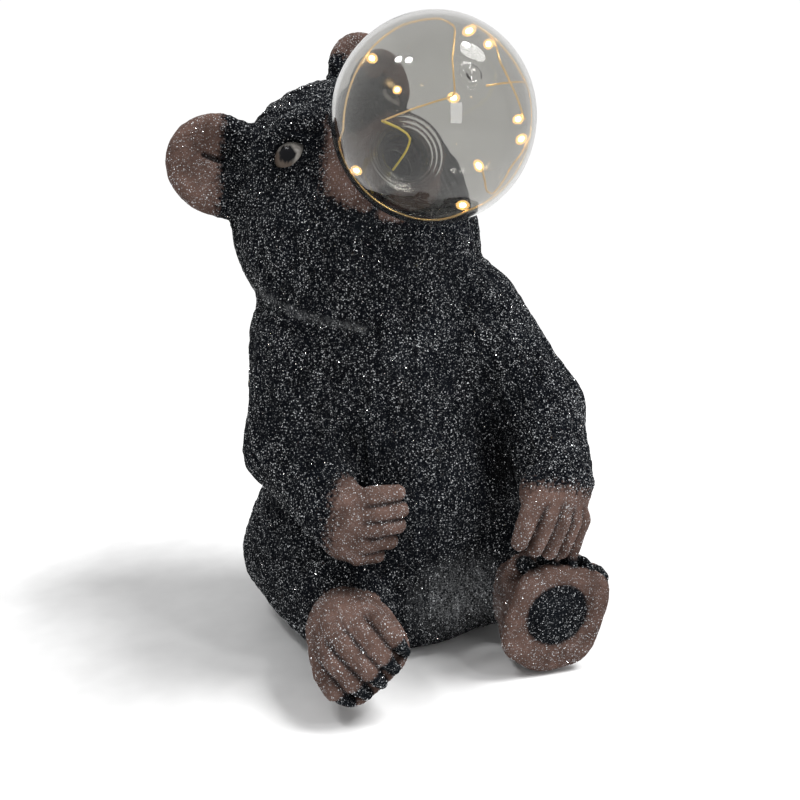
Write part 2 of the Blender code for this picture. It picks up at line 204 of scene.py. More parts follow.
@dataclass(frozen=True)
class GlobeSizes:
    """Sizes of the blown light globe, in metres."""

    diameter: float = 0.095
    wall: float = 0.0018
    neck: float = 0.0265
    bore: float = 0.0200
    neck_length: float = 0.0190
    neck_shown: float = 0.0028
    rib_rise: float = 0.0006
    rib_count: int = 2
    pip: float = 0.008
    pip_rise: float = 0.0012
    turn: float = -4.0
    nod: float = 18.0

    @property
    def way(self) -> Array:
        """Return the direction from the mouth through the globe's middle."""
        return facing(self.turn, self.nod)

    @property
    def axes(self) -> tuple[Array, Array, Array]:
        """Return the globe's way and the two directions square to it, level and upwards."""
        side = unit(np.cross(self.way, (0.0, 0.0, 1.0)))
        return self.way, side, np.cross(side, self.way)

    @property
    def centre(self) -> Array:
        """Return the ball's middle in the figure's own frame."""
        return BearForm.mouth_at() * SHARE + self.way * (self.neck_shown + self.diameter / 2.0)


@dataclass(frozen=True)
class BearForm:
    """The bear's forms, placed in shares of its height from the floor up; right side first.

    A ball is its centre and radii, and a bar is its two ends and their radii.  A further number
    is the blend into what is there before it.  A groove is its stops, if it has its own, then
    its width and depth, and the ring on a sole is its radius, width and depth.  An eyelid is its
    gap from the opening, its width, its reach and its rise.  What belongs to the head is placed
    in the head's own frame (left, forward, up), and its paired parts are given for the left side.
    """

    mouth: tuple = (0.0, -1.8, 28.6)
    head_turn: float = 4.0
    head_nod: float = 18.0
    head_tilt: float = 29.0
    mouth_in_head: tuple = (0.0, 7.7, -1.4)
    shoulders: tuple = ((-4.7, 1.8, 18.4), (6.0, 1.2, 19.2))
    elbows: tuple = ((-6.0, -0.2, 12.7), (8.3, -2.9, 14.3))
    wrists: tuple = ((-5.2, -4.4, 10.4), (7.2, -7.4, 11.2))
    hips: tuple = ((-3.6, 3.6, 4.9), (5.6, 4.0, 4.8))
    ankles: tuple = ((-4.1, -3.4, 3.4), (7.0, -5.0, 4.0))
    shoulder_radii: tuple = (3.1, 3.2)
    elbow_radius: float = 2.6
    wrist_radius: float = 1.9
    hip_radii: tuple = (4.6, 4.9)
    ankle_radii: tuple = (2.6, 2.9)
    palms: tuple = ((-5.2, -5.2, 9.8), (6.8, -7.9, 11.5))
    finger_ways: tuple = ((1.0, -0.35, -0.1), (-0.22, -0.35, -1.0))
    thumb_ways: tuple = ((0.0, 0.0, 1.0), (-0.93, -0.37, 0.0))
    knuckle_sides: tuple = (1.0, -1.0)
    palm_shapes: tuple = ((-0.1, 2.1), (0.3, 2.5))
    finger_tips: tuple = (((-1.83, 2.4), (-0.95, 3.05), (0.0, 3.4), (0.85, 3.45), (1.75, 3.2)),
                          ((-1.9, 3.7), (-0.8, 3.85), (0.3, 3.95), (1.4, 3.85), (2.5, 3.6)))
    soles: tuple = ((-4.2, -6.9, 2.9), (6.7, -8.8, 3.5))
    toe_ways: tuple = ((0.1, -0.93, -0.28), (0.24, -0.1, 1.0))
    instep_ways: tuple = ((-0.65, -0.27, 0.71), (0.1, 1.0, 0.1))
    foot_scales: tuple = (0.95, 1.13)
    belly: tuple = ((1.6, 2.5, 7.4), (8.6, 7.1, 8.6))
    torso_balls: tuple = (((1.2, 2.5, 2.4), (7.4, 6.6, 3.6), 2.0),
                          ((0.9, 3.2, 16.0), (6.9, 6.2, 7.6), 3.0),
                          ((-0.2, 4.2, 24.0), (7.5, 6.1, 5.8), 2.5))
    skull: tuple = ((0.0, 0.0, 0.5), (6.1, 5.8, 5.4))
    muzzle_bars: tuple = (((0.0, 2.6, -0.8), (0.0, 5.9, -1.2), 3.7, 2.7, 1.6),
                          ((0.0, 3.0, 1.3), (0.0, 6.1, 1.5), 2.1, 1.35, 0.9))
    nose_ball: tuple = ((0.0, 6.7, 2.3), (1.6, 1.35, 1.1))
    nose_blend: float = 0.5
    cheek: tuple = ((3.8, 0.2, -2.6), (3.4, 3.8, 3.4), 2.0)
    brow: tuple = ((2.0, 4.2, 3.2), (4.6, 2.9, 3.2), 0.9, 0.7, 1.0)
    lip_groove: tuple = (((4.0, 6.0, -3.3), (2.9, 6.6, -3.0), (1.6, 7.6, -2.3)), 0.32, 0.35)
    corner_groove: tuple = (((3.5, 6.3, -2.5), (3.3, 6.35, -3.2), (3.15, 6.4, -3.9)), 0.2, 0.4)
    jowl_fold: tuple = ((-7.6, 5.0, 21.3), (-6.9, 0.3, 20.6), (-5.4, -1.5, 19.5),
                        (-3.2, -1.7, 19.3), (-1.8, -1.9, 19.6))
    jowl_groove: tuple = (0.5, 0.4)
    # stops of the painted highlight along the jowl fold's edge
    jowl_highlight: tuple = ((-7.1, 5.4, 21.3), (-6.66, 1.5, 20.95), (-5.53, -0.6, 20.25),
                        (-2.2, -1.5, 19.4))
    ear_centre: tuple = (5.9, 0.3, 4.35)
    ear_outward: tuple = (0.78, -0.10, 0.62)
    ear_front: tuple = (0.30, 0.95, 0.0)
    ear_radii: tuple = (3.0, 2.9, 1.25)
    ear_blend: float = 0.9
    dish_radii: tuple = (2.35, 2.3, 1.2)
    dish_shift: tuple = (0.2, 1.35)
    ear_folds: tuple = (((-2.7, 0.1), (-0.9, 0.05), (0.9, 0.45)),
                        ((-2.5, 0.5), (-1.2, 0.55), (-0.2, 0.75)),
                        ((-2.3, -0.4), (-1.4, -0.25), (-0.3, -0.15)))
    ear_groove: tuple = (0.16, 0.32)
    palm_radii: tuple = (1.9, 1.15)
    finger_radii: tuple = (0.55, 0.56, 0.45)
    toe_radii: tuple = (0.58, 0.64, 0.6)
    toe_reach: float = 2.45
    toe_fall: float = 0.13
    claw_radii: tuple = (0.42, 0.3)
    heel_bar: tuple = ((0.0, -1.0, 1.2), (0.0, 0.3, 1.2), 2.25, 2.4)
    plate_middle: tuple = (0.1, 0.1)
    plate_half: tuple = (2.7, 2.75)
    plate_power: float = 3.4
    plate_thickness: float = 0.5
    pad_middle: tuple = (0.1, 0.2)
    ring: tuple = (1.55, 0.26, 0.22)
    limb_blends: tuple = (1.4, 1.8, 0.8)
    paw_blend: float = 0.5
    lip_gap: float = 0.0010
    socket_clearance: float = 0.0004
    socket_end_room: float = 0.0100
    lock_count: int = 11
    lock_start: float = -42.0
    lock_pitch: float = 24.0
    lock_swing: float = 14.0
    lock_centre: tuple = (-0.2, 4.2, 26.0)
    lock_spread: tuple = (7.6, 6.4)
    lock_drop: float = 5.5
    lock_groove: tuple = (0.4, 0.28)
    eye_centre: tuple = (3.85, 4.25, 2.25)
    eye_outward: tuple = (0.56, 0.80, 0.20)
    eye_opening: tuple = (1.08, 0.68)
    eyeball: float = 1.12
    eyeball_depth: float = 0.86
    eyelid: tuple = (0.22, 0.17, 0.9, 0.16)
    eye_socket_depth: float = 1.3

    @staticmethod
    def mouth_at() -> Array:
        """Return the mouth's place."""
        return np.array(BearForm.mouth)

    def __post_init__(self) -> None:
        """Work out the head's frame and the socket's place once."""
        forward = facing(self.head_turn, self.head_nod)
        level = unit(np.cross(forward, (0.0, 0.0, -1.0)))
        level = level * math.copysign(1.0, level[0])
        upright = np.cross(forward, level)
        tilt = math.radians(self.head_tilt)
        left = math.cos(tilt) * level + math.sin(tilt) * upright
        axes = np.array([left, forward, np.cross(forward, left)])
        globe = GlobeSizes()
        half = globe.diameter / 2.0
        worked_out = {
            "head_axes": axes,
            "head_centre": np.array(self.mouth) - np.array(self.mouth_in_head) @ axes,
            "seat_centre": globe.centre / SHARE,
            "seat_radius": (half + self.lip_gap) / SHARE,
            "socket_radius": (globe.neck / 2.0 + globe.rib_rise + self.socket_clearance) / SHARE,
            "socket_reach": (half + globe.neck_length + self.socket_end_room) / SHARE,
            "socket_way": globe.way,
        }
        for name, value in worked_out.items():
            object.__setattr__(self, name, value)

    def torso(self, points: Array) -> Array:
        """Return the sitting body: belly, seat, chest and the thick neck."""
        body = ball(points, *self.belly)
        for centre, radii, blend in self.torso_balls:
            body = join(body, ball(points, centre, radii), blend)
        return body

    def head(self, local: Array) -> Array:
        """Return the head with all that it carries, from places in its frame."""
        form = ball(local, *self.skull)
        for *bar, blend in self.muzzle_bars:
            form = join(form, limb(local, *bar), blend)
        form = join(form, self.nose(local), self.nose_blend)
        for side in MIRRORED:
            centre, radii, blend = self.cheek
            form = join(form, ball(local, mirrored(centre, side), radii), blend)
            start, end, first, last, blend = self.brow
            brow = limb(local, mirrored(start, side), mirrored(end, side), first, last)
            form = join(form, brow, blend)
            form = join(form, self.ear(local, side), self.ear_blend)
            form = self.eye_socket(form, local, side)
            for stops, width, depth in self.mouth_grooves(side):
                form = carve(form, local, stops, width, depth)
        return form

    def nose(self, local: Array) -> Array:
        """Return the nose, from places in the head's frame."""
        return ball(local, *self.nose_ball)

    def mouth_grooves(self, side: float) -> list[tuple]:
        """Return the grooves of the lips and of the mouth's corner on one side."""
        return [([mirrored(stop, side) for stop in stops], width, depth)
                for stops, width, depth in (self.lip_groove, self.corner_groove)]

    def eye_axes(self, side: float) -> Array:
        """Return one eye's axes as rows: along the lids, outward, and up."""
        outward = unit(mirrored(self.eye_outward, side))
        along = unit(np.cross(outward, (0.0, -0.1, 1.0)))
        return np.array([along, outward, np.cross(along, outward)])

    def eye_at(self, side: float) -> Array:
        """Return the middle of one eye's opening, in the head's frame."""
        return np.array(mirrored(self.eye_centre, side))

    def eye_socket(self, form: Array, local: Array, side: float) -> Array:
        """Sink an almond-shaped socket into the head and raise a lid round it."""
        spot = in_frame(local, self.eye_at(side), self.eye_axes(side))
        half, high = self.eye_opening
        arc = (half * half + high * high) / (2.0 * high)
        above = np.hypot(spot[:, 0], spot[:, 2] + arc - high) - arc
        below = np.hypot(spot[:, 0], spot[:, 2] - arc + high) - arc
        opening = np.maximum(above, below)
        gap, width, reach, rise = self.eyelid
        close = np.exp(-((spot[:, 1] / reach) ** 2))
        form = form - rise * close * np.exp(-(((opening - gap) / width) ** 2))
        return cut(form, np.maximum(opening, -spot[:, 1] - self.eye_socket_depth), 0.08)

    def ear(self, local: Array, side: float) -> Array:
        """Return one round ear, dished and folded at the front."""
        outward, front, axes, centre = self.ear_frame(side)
        aside, ahead = self.dish_shift
        dish = ball(local, centre + ahead * front + aside * outward, self.dish_radii, axes)
        form = cut(ball(local, centre, self.ear_radii, axes), dish, 0.7)
        width, depth = self.ear_groove
        return form + depth * np.exp(-((self.crease_gap(local, side) / width) ** 2))

    def crease_gap(self, local: Array, side: float) -> Array:
        """Return the distance to the folds that run from an ear's root into its dish."""
        outward, front, axes, centre = self.ear_frame(side)
        spot = local - centre
        flat = np.stack((spot @ outward, spot @ axes[1], np.zeros(len(spot))), axis=1)
        folds = [trail(flat, [(*stop, 0.0) for stop in stops]) for stops in self.ear_folds]
        return np.minimum.reduce(folds) + 4.0 * fade(spot @ front, -0.3, -0.8)

    def ear_frame(self, side: float) -> tuple[Array, Array, Array, Array]:
        """Return one ear's outward and front ways, its axes and its centre."""
        outward = unit(mirrored(self.ear_outward, side))
        front = unit(mirrored(self.ear_front, side))
        across = unit(np.cross(front, outward))
        axes = np.array([outward, across, np.cross(across, outward)])
        return outward, front, axes, np.array(mirrored(self.ear_centre, side))

    def paw_frame(self, points: Array, side: int) -> Array:
        """Return places as seen from one palm: thumb side, fingertips, back."""
        tips_way, thumb_way, back_way = square_axes(self.finger_ways[side], self.thumb_ways[side])
        back_way = self.knuckle_sides[side] * back_way
        return in_frame(points, self.palms[side], (thumb_way, tips_way, back_way))

    def paw(self, points: Array, side: int) -> Array:
        """Return a hand with five fingers side by side."""
        local = self.paw_frame(points, side)
        middle, half_width = self.palm_shapes[side]
        form = ball(local, (middle, 0.9, 0.0), (half_width, *self.palm_radii))
        for finger in self.fingers(local, side):
            form = join(form, finger, 0.14)
        return form

    def fingers(self, local: Array, side: int) -> list[Array]:
        """Return the five fingers, one by one."""
        result = []
        for aside, reach in self.finger_tips[side]:
            root = (0.6 * aside, 0.5, 0.25)
            knuckle = (0.93 * aside, 0.56 * reach, 0.55 - 0.07 * aside ** 2)
            tip = (aside, reach, -0.15 - 0.04 * aside ** 2)
            result.append(trail(local, (root, knuckle, tip), self.finger_radii))
        return result

    def foot_frame(self, points: Array, side: int) -> Array:
        """Return places as seen from one sole: across, toes, instep, at the foot's own scale."""
        toes_way, instep_way, across_way = square_axes(self.toe_ways[side], self.instep_ways[side])
        local = in_frame(points, self.soles[side], (across_way, toes_way, instep_way))
        return local / self.foot_scales[side]

    def toe_spots(self) -> list[tuple[float, float]]:
        """Return how far across the foot each toe lies, and how far it reaches."""
        return [(place, self.toe_reach - self.toe_fall * place ** 2)
                for place in (-2.0, -1.0, 0.0, 1.0, 2.0)]

    def claws(self, local: Array) -> Array:
        """Return the five claws of a foot."""
        return np.minimum.reduce([
            limb(local, (1.04 * place, reach + 0.3, 1.15), (place, reach + 0.42, 0.5),
                 *self.claw_radii)
            for place, reach in self.toe_spots()])

    def sole_plate(self, local: Array) -> Array:
        """Return the broad low plate of a foot's sole, with rounded corners."""
        around = np.abs((local[:, :2] - self.plate_middle) / self.plate_half) ** self.plate_power
        rim = (np.sum(around, axis=1) ** (1.0 / self.plate_power) - 1.0) * self.plate_half[0]
        return cut(rim, self.plate_thickness - np.abs(local[:, 2]), 0.35)

    def pad_reach(self, local: Array) -> Array:
        """Return the distance from the middle of a sole's round pad, along the sole."""
        return np.hypot(local[:, 0] - self.pad_middle[0], local[:, 1] - self.pad_middle[1])

    def foot(self, points: Array, side: int) -> Array:
        """Return a foot with a flat sole, five toes with claws and a ring round its pad."""
        local = self.foot_frame(points, side)
        form = join(limb(local, *self.heel_bar), self.sole_plate(local), 0.25)
        for toe in self.toes(local):
            form = join(form, toe, 0.12)
        form = join(form, self.claws(local), 0.1)
        form = cut(form, local[:, 2], 0.3)
        radius, width, depth = self.ring
        gap = np.hypot(self.pad_reach(local) - radius, local[:, 2])
        return (form + depth * np.exp(-((gap / width) ** 2))) * self.foot_scales[side]

    def toes(self, local: Array) -> list[Array]:
        """Return the five toes, one by one."""
        result = []
        for place, reach in self.toe_spots():
            root = (0.82 * place, -0.5, 3.1 - 0.24 * place ** 2)
            knuckle = (place, 0.55 * reach, 2.9 - 0.2 * place ** 2)
            tip = (1.04 * place, reach, 1.6)
            result.append(trail(local, (root, knuckle, tip), self.toe_radii))
        return result

    def locks(self, form: Array, points: Array) -> Array:
        """Comb slanting locks of fur into the ruff, round the sides and the nape."""
        middle, spread = self.lock_centre, self.lock_spread
        for index in range(self.lock_count):
            turn = math.radians(self.lock_start + self.lock_pitch * index)
            stops = []
            for drop in (0.0, 0.5, 1.0):
                swing = turn + math.radians(self.lock_swing) * drop
                reach = 1.0 - 0.03 * drop
                stops.append((middle[0] + spread[0] * reach * math.cos(swing),
                              middle[1] + spread[1] * reach * math.sin(swing),
                              middle[2] - self.lock_drop * drop))
            form = carve(form, points, stops, *self.lock_groove)
        return form

    def socket(self, points: Array) -> Array:
        """Return the round bore between the lips that takes the globe's neck."""
        from_seat = points - self.seat_centre
        along = -(from_seat @ self.socket_way)
        aside = np.linalg.norm(from_seat + along[:, None] * self.socket_way, axis=1)
        return np.maximum(np.maximum(aside - self.socket_radius, along - self.socket_reach), -along)

    def limbs(self, points: Array, side: int) -> tuple[Array, Array, Array]:
        """Return the thigh, the upper arm and the forearm of one side."""
        thigh = limb(points, self.hips[side], self.ankles[side], self.hip_radii[side],
                     self.ankle_radii[side])
        upper = limb(points, self.shoulders[side], self.elbows[side], self.shoulder_radii[side],
                     self.elbow_radius)
        fore = limb(points, self.elbows[side], self.wrists[side], self.elbow_radius,
                    self.wrist_radius)
        return thigh, upper, fore

    def distance(self, points: Array) -> Array:
        """Return the distance from points, in shares, to the surface of the bear."""
        form = self.locks(self.torso(points), points)
        form = join(form, self.head(in_frame(points, self.head_centre, self.head_axes)), 1.6)
        for side in Side:
            for part, blend in zip(self.limbs(points, side), self.limb_blends):
                form = join(form, part, blend)
        for side in Side:
            form = join(form, self.paw(points, side), self.paw_blend)
            form = join(form, self.foot(points, side), self.paw_blend)
        form = carve(form, points, self.jowl_fold, *self.jowl_groove)
        form = cut(form, ball(points, self.seat_centre, [self.seat_radius] * 3), 0.2)
        form = cut(form, self.socket(points), 0.1)
        return np.maximum(form, -points[:, 2])

    def combing(self, points: Array, outward: Array) -> Array:
        """Return the way that the fur lies at each point, along the surface."""
        local = in_frame(points, self.head_centre, self.head_axes)
        back = local * (0.5, 0.2, 0.5) + (0.0, -4.0, 0.0)
        ways = [(self.torso(points), np.tile((0.0, 0.0, -1.0), (len(points), 1))),
                (ball(local, *self.skull), back @ self.head_axes)]
        for side in Side:
            ends = ((self.hips, self.ankles), (self.shoulders, self.elbows),
                    (self.elbows, self.wrists))
            for form, (start, end) in zip(self.limbs(points, side), ends):
                way = unit(np.subtract(end[side], start[side]))
                ways.append((form, np.tile(way, (len(points), 1))))
        total = np.zeros_like(points)
        for form, way in ways:
            way = way / np.maximum(np.linalg.norm(way, axis=1), 1e-6)[:, None]
            total += np.exp(-1.2 * np.clip(form, -1.0, 20.0))[:, None] * way
        total -= np.sum(total * outward, axis=1)[:, None] * outward
        return total / np.maximum(np.linalg.norm(total, axis=1), 1e-9)[:, None]


@dataclass(frozen=True)
class SkinMesher:
    """Meshes the zero level of a distance function with one quad for each crossed grid edge."""

    step: float
    low: tuple = (-14.2, -13.2, -0.8)
    high: tuple = (13.2, 13.7, 38.4)
    first_block: int = 16

    def cells_near(self, distance: Field) -> Array:
        """Return the grid cells that lie close to the surface, found by halving blocks."""
        low, high = np.array(self.low), np.array(self.high)
        size = self.first_block
        counts = np.ceil((high - low) / (self.step * size)).astype(int)
        blocks = size * np.indices(counts).reshape(3, -1).T
        while True:
            value = in_blocks(distance, low + self.step * (blocks + size / 2.0))
            blocks = blocks[np.abs(value) < 1.35 * size * self.step]
            if size == 1:
                return blocks
            size //= 2
            blocks = (blocks[:, None] + size * CORNERS[None]).reshape(-1, 3)

    def mesh(self, distance: Field) -> tuple[Array, Array, Array]:
        """Mesh the surface.

        Args:
            distance: The signed distance, negative inside.

        Returns:
            The points, the outward direction at each of them, and the quads.
        """
        low = np.array(self.low)
        cells = self.cells_near(distance) + 1
        span = int(cells.max()) + 4
        strides = np.array([span * span, span, 1])
        codes = cells @ strides
        order = np.argsort(codes)
        cells, codes = cells[order], codes[order]
        corner_codes, where = np.unique(codes[:, None] + CORNERS @ strides, return_inverse=True)
        where = where.reshape(-1, 8)
        at = np.stack((corner_codes // strides[0], corner_codes // span % span,
                       corner_codes % span), axis=1)
        values = in_blocks(distance, low + self.step * (at - 1))
        self.open_pinches(values, where)
        near = values[where]
        mixed = (near < 0.0).any(axis=1) & (near >= 0.0).any(axis=1)
        points = low + self.step * (cells[mixed] - 1 + self.crossings(near[mixed]))
        faces = self.quads(near < 0.0, codes, np.cumsum(mixed) - 1, strides)
        return (*self.settle(distance, points), faces)

    @staticmethod
    def crossings(near: Array) -> Array:
        """Return the middle of the crossed edges of each cell, from the values at its corners."""
        place = np.zeros((len(near), 3))
        weight = np.zeros(len(near))
        for first, start in enumerate(CORNERS):
            for axis in range(3):
                if start[axis]:
                    continue
                second = first + CORNER_STEPS[axis]
                crossed = (near[:, first] < 0.0) != (near[:, second] < 0.0)
                gap = np.where(crossed, near[:, first] - near[:, second], 1.0)
                spot = np.tile(start.astype(float), (len(near), 1))
                spot[:, axis] += np.where(crossed, near[:, first] / gap, 0.0)
                place += spot * crossed[:, None]
                weight += crossed
        return place / weight[:, None]

    @staticmethod
    def quads(inside: Array, codes: Array, index: Array, strides: Array) -> Array:
        """Return a quad of mesh points round each crossed grid edge, turned outwards.

        Args:
            inside: Which corners of each cell are inside.
            codes: The cells' sorted codes.
            index: The mesh point of each cell.
            strides: What one step along each axis adds to a code.

        Returns:
            The quads.
        """
        faces = []
        for axis in range(3):
            one, two = strides[(axis + 1) % 3], strides[(axis + 2) % 3]
            behind = inside[:, 0]
            edge = np.flatnonzero(inside[:, CORNER_STEPS[axis]] != behind)
            ring = [index[np.searchsorted(codes, codes[edge] - back_one * one - back_two * two)]
                    for back_one, back_two in ((1, 1), (0, 1), (0, 0), (1, 0))]
            around = np.stack(ring, axis=1)
            leaving = behind[edge]
            around[~leaving] = around[~leaving][:, ::-1]
            faces.append(around)
        return np.concatenate(faces)

    @staticmethod
    def open_pinches(values: Array, where: Array) -> None:
        """Fill the outside corners of checkered cell faces, so that no edge has four faces."""
        loops = ((0, 1, 3, 2), (4, 5, 7, 6), (0, 1, 5, 4), (2, 3, 7, 6), (0, 2, 6, 4), (1, 3, 7, 5))
        for _ in range(6):
            inside = values[where] < 0.0
            changed = False
            for a, b, c, d in loops:
                same = (inside[:, a] == inside[:, c]) & (inside[:, b] == inside[:, d])
                checkered = same & (inside[:, a] != inside[:, b])
                if checkered.any():
                    corners = where[checkered][:, (a, b, c, d)].ravel()
                    outer = corners[values[corners] >= 0.0]
                    values[outer] = -1e-4
                    changed = True
            if not changed:
                return

    def settle(self, distance: Field, points: Array) -> tuple[Array, Array]:
        """Slide mesh points onto the true surface and return them with their outward ways."""
        reach = 0.15 * self.step
        value = in_blocks(distance, points)
        away = np.empty_like(points)
        for axis in range(3):
            shift = np.zeros(3)
            shift[axis] = reach
            away[:, axis] = (in_blocks(distance, points + shift) - value) / reach
        size = np.maximum(np.sum(away * away, axis=1), 0.2)
        for _ in range(2):
            move = -np.clip(value, -0.5 * self.step, 0.5 * self.step) / size
            points = points + move[:, None] * away
            value = in_blocks(distance, points)
        outward = away / np.maximum(np.linalg.norm(away, axis=1), 1e-9)[:, None]
        points[:, 2] = np.maximum(points[:, 2], 0.0)
        return points, outward


@dataclass(frozen=True)
class Fur:
    """Low relief of fur strands, drawn out along the way that the fur lies; lengths in shares."""

    seed: int = 7
    table_size: int = 64
    layers: tuple = ((0.22, 0.16, 5, 0.040), (0.55, 0.42, 4, 0.032))

    def noise(self, table: Array, spots: Array) -> Array:
        """Return smooth lattice noise at the spots."""
        base = np.floor(spots).astype(np.int64)
        part = spots - base
        part = part * part * (3.0 - 2.0 * part)
        total = np.zeros(len(spots))
        for corner in CORNERS:
            cell = (base + corner) % self.table_size
            share = np.prod(np.where(corner, part, 1.0 - part), axis=1)
            total += share * table[cell[:, 0], cell[:, 1], cell[:, 2]]
        return total

    def strands(self, points: Array, ways: Array) -> Array:
        """Return the height of the strands at each point.

        Args:
            points: Places on the skin, in shares.
            ways: The way that the fur lies at each of them.

        Returns:
            The height in shares, above and below zero.
        """
        table = np.random.default_rng(self.seed).random((self.table_size,) * 3)
        height = np.zeros(len(points))
        for pitch, stride, count, depth in self.layers:
            total = np.zeros(len(points))
            for turn in range(-count, count + 1):
                total += in_blocks(lambda spots: self.noise(table, spots),
                                   (points + turn * stride * ways) / pitch)
            total -= total.mean()
            height += depth * np.clip(total / total.std(), -2.0, 2.0)
        return height


@dataclass(frozen=True)
class Paint:
    """Where the casting is painted brown and black, with painted shade in its grooves and folds and
    painted highlights on the lower belly and the jowl's edge.

    The cuffs say, for each paw, how far towards the fingertips the brown starts and is full.
    """

    form: BearForm
    cuffs: tuple = ((-1.3, 0.9), (-0.4, 1.6))
    # strength of the black put into the ear folds and between fingers and toes as painted shade
    groove_shade_black: float = 0.85
    pad_radius: float = 1.66
    # place and size of the painted highlight on the lower belly
    belly_sheen_centre: tuple = (2.7, -4.7, 3.6)
    belly_sheen_radii: tuple = (3.0, 3.0, 2.6)
    # how far out the painted shade of folds looks for the bear's own surface
    fold_shade_reach: float = 1.6

    def brown(self, points: Array) -> Array:
        """Return how brown the paint is: ears, muzzle, paws and feet."""
        form = self.form
        local = in_frame(points, form.head_centre, form.head_axes)
        edge = 5.55 + 0.17 * np.maximum(0.0, -local[:, 2] - 0.3)
        zones = [fade(local[:, 1] - edge, -0.35, 0.45) * fade(form.head(local), 1.0, 0.5)]
        for side in MIRRORED:
            outward, _, axes, centre = form.ear_frame(side)
            shell = ball(local, centre, (3.1, 3.0, 1.4), axes)
            zones.append(fade((local - centre) @ outward, -0.7, 0.7) * fade(shell, 0.5, 0.2))
        for side, (start, end) in zip(Side, self.cuffs):
            tips = form.paw_frame(points, side)[:, 1]
            zones.append(fade(tips, start, end) * fade(form.paw(points, side), 0.95, 0.15))
            zones.append(fade(form.foot(points, side), 0.45, 0.2))
        return np.maximum.reduce(zones)

    def black(self, points: Array) -> Array:
        """Return how black the paint is: nose, lips, claws and pads, with black also put into the
        ear folds and the valleys of fingers and toes as painted shade.
        """
        form = self.form
        local = in_frame(points, form.head_centre, form.head_axes)
        zones = [fade(form.nose(local), 0.45, 0.15)]
        for side in MIRRORED:
            for stops, _, _ in form.mouth_grooves(side):
                zones.append(fade(trail(local, stops, (0.1, 0.1, 0.1)), 0.32, 0.1))
            # painted shade: black in the ear folds
            zones.append(self.groove_shade_black * fade(form.crease_gap(local, side), 0.24, 0.06))
        for side in Side:
            foot, hand = form.foot_frame(points, side), form.paw_frame(points, side)
            zones.append(fade(form.claws(foot), 0.16, 0.02))
            # painted shade: black in the valleys between toes, and below between fingers
            ahead = fade(foot[:, 1], 0.0, 1.1) * fade(foot[:, 2], 0.6, 0.9)
            zones.append(self.valley_shade(form.toes(foot), 0.26, 0.06) * ahead)
            ahead = fade(hand[:, 1], 1.0, 2.0)
            zones.append(self.valley_shade(form.fingers(hand, side), 0.24, 0.05) * ahead)
            pad = form.pad_reach(foot) - self.pad_radius
            zones.append(fade(pad, 0.08, -0.05) * fade(np.abs(foot[:, 2]), 0.7, 0.4))
        return np.maximum.reduce(zones)

    def valley_shade(self, forms: Sequence[Array], start: float, end: float) -> Array:
        """Return how black the valleys between a row of fingers or toes are painted, as painted
        shade.
        """
        near, second = np.sort(np.stack(forms), axis=0)[:2]
        return self.groove_shade_black * fade(second - near, start, end) * fade(near, 0.42, 0.2)

    def pale(self, points: Array) -> Array:
        """Return how grey the coat is painted as highlights, on the lower belly and along the
        jowl's edge.
        """
        gap = np.linalg.norm((points - self.belly_sheen_centre) / self.belly_sheen_radii, axis=1)
        # painted highlight along the jowl fold's edge
        fold = trail(points, self.form.jowl_highlight)
        return np.maximum(fade(gap, 1.35, 0.1), 0.6 * fade(fold, 0.36, 0.05))

    def fold_shade(self, points: Array, outward: Array) -> Array:
        """Return how open each place is, as painted shade: near 0 in folds and round the eyes,
        where the coat is painted darker.
        """
        form = self.form
        # painted shade in folds: less open where the bear's own surface lies close in front
        ahead = form.distance(points + self.fold_shade_reach * outward)
        clear = np.clip(ahead / self.fold_shade_reach, 0.0, 1.0)
        local = in_frame(points, form.head_centre, form.head_axes)
        # painted shade round the eye sockets
        for side in MIRRORED:
            near = np.linalg.norm(local - form.eye_at(side), axis=1)
            clear *= 1.0 - 0.6 * fade(near, 2.6, 1.0)
        return clear


# Node trees


class Tree:
    """A node tree with short calls to add, set and link its nodes."""

    def __init__(self, tree: bpy.types.NodeTree) -> None:
        """Start on an empty tree."""
        self.tree = tree
        tree.nodes.clear()

    def add(self, kind: str, settings: Optional[dict] = None, **inputs: object) -> bpy.types.Node:
        """Add a node.

        Args:
            kind: The node's type.
            settings: Its own properties.
            **inputs: Values or output sockets for its inputs, by name with _ for a space, or by
                i and number.

        Returns:
            The node.
        """
        node = self.tree.nodes.new(kind)
        for name, value in (settings or {}).items():
            setattr(node, name, value)
        for name, value in inputs.items():
            key = int(name[1:]) if name[1:].isdigit() else name.replace("_", " ")
            socket = node.inputs[key]
            if isinstance(value, bpy.types.NodeSocket):
                self.tree.links.new(value, socket)
            else:
                socket.default_value = value
        return node

    def math(self, operation: str, *values: object) -> bpy.types.NodeSocket:
        """Add a Math node and return its result."""
        inputs = {f"i{place}": value for place, value in enumerate(values)}
        return self.add("ShaderNodeMath", {"operation": operation}, **inputs).outputs[0]

    def scaled(self, value: object, gain: object, offset: object) -> bpy.types.NodeSocket:
        """Return the value times a gain, plus an offset."""
        return self.math("MULTIPLY_ADD", value, gain, offset)

    def product(self, *values: object) -> bpy.types.NodeSocket:
        """Return the product of the values."""
        return reduce(lambda first, second: self.math("MULTIPLY", first, second), values)

    def mix(self, share: object, first: object, second: object,
            blend: str = "MIX") -> bpy.types.NodeSocket:
        """Mix two colours and return the result."""
        settings = {"data_type": "RGBA", "blend_type": blend}
        return self.add("ShaderNodeMix", settings, i0=share, i6=first, i7=second).outputs[2]

    def ramp(self, value: bpy.types.NodeSocket, start: float, end: float) -> bpy.types.NodeSocket:
        """Stretch a value so that start gives 0 and end gives 1."""
        return self.add("ShaderNodeMapRange", Value=value, From_Min=start, From_Max=end).outputs[0]


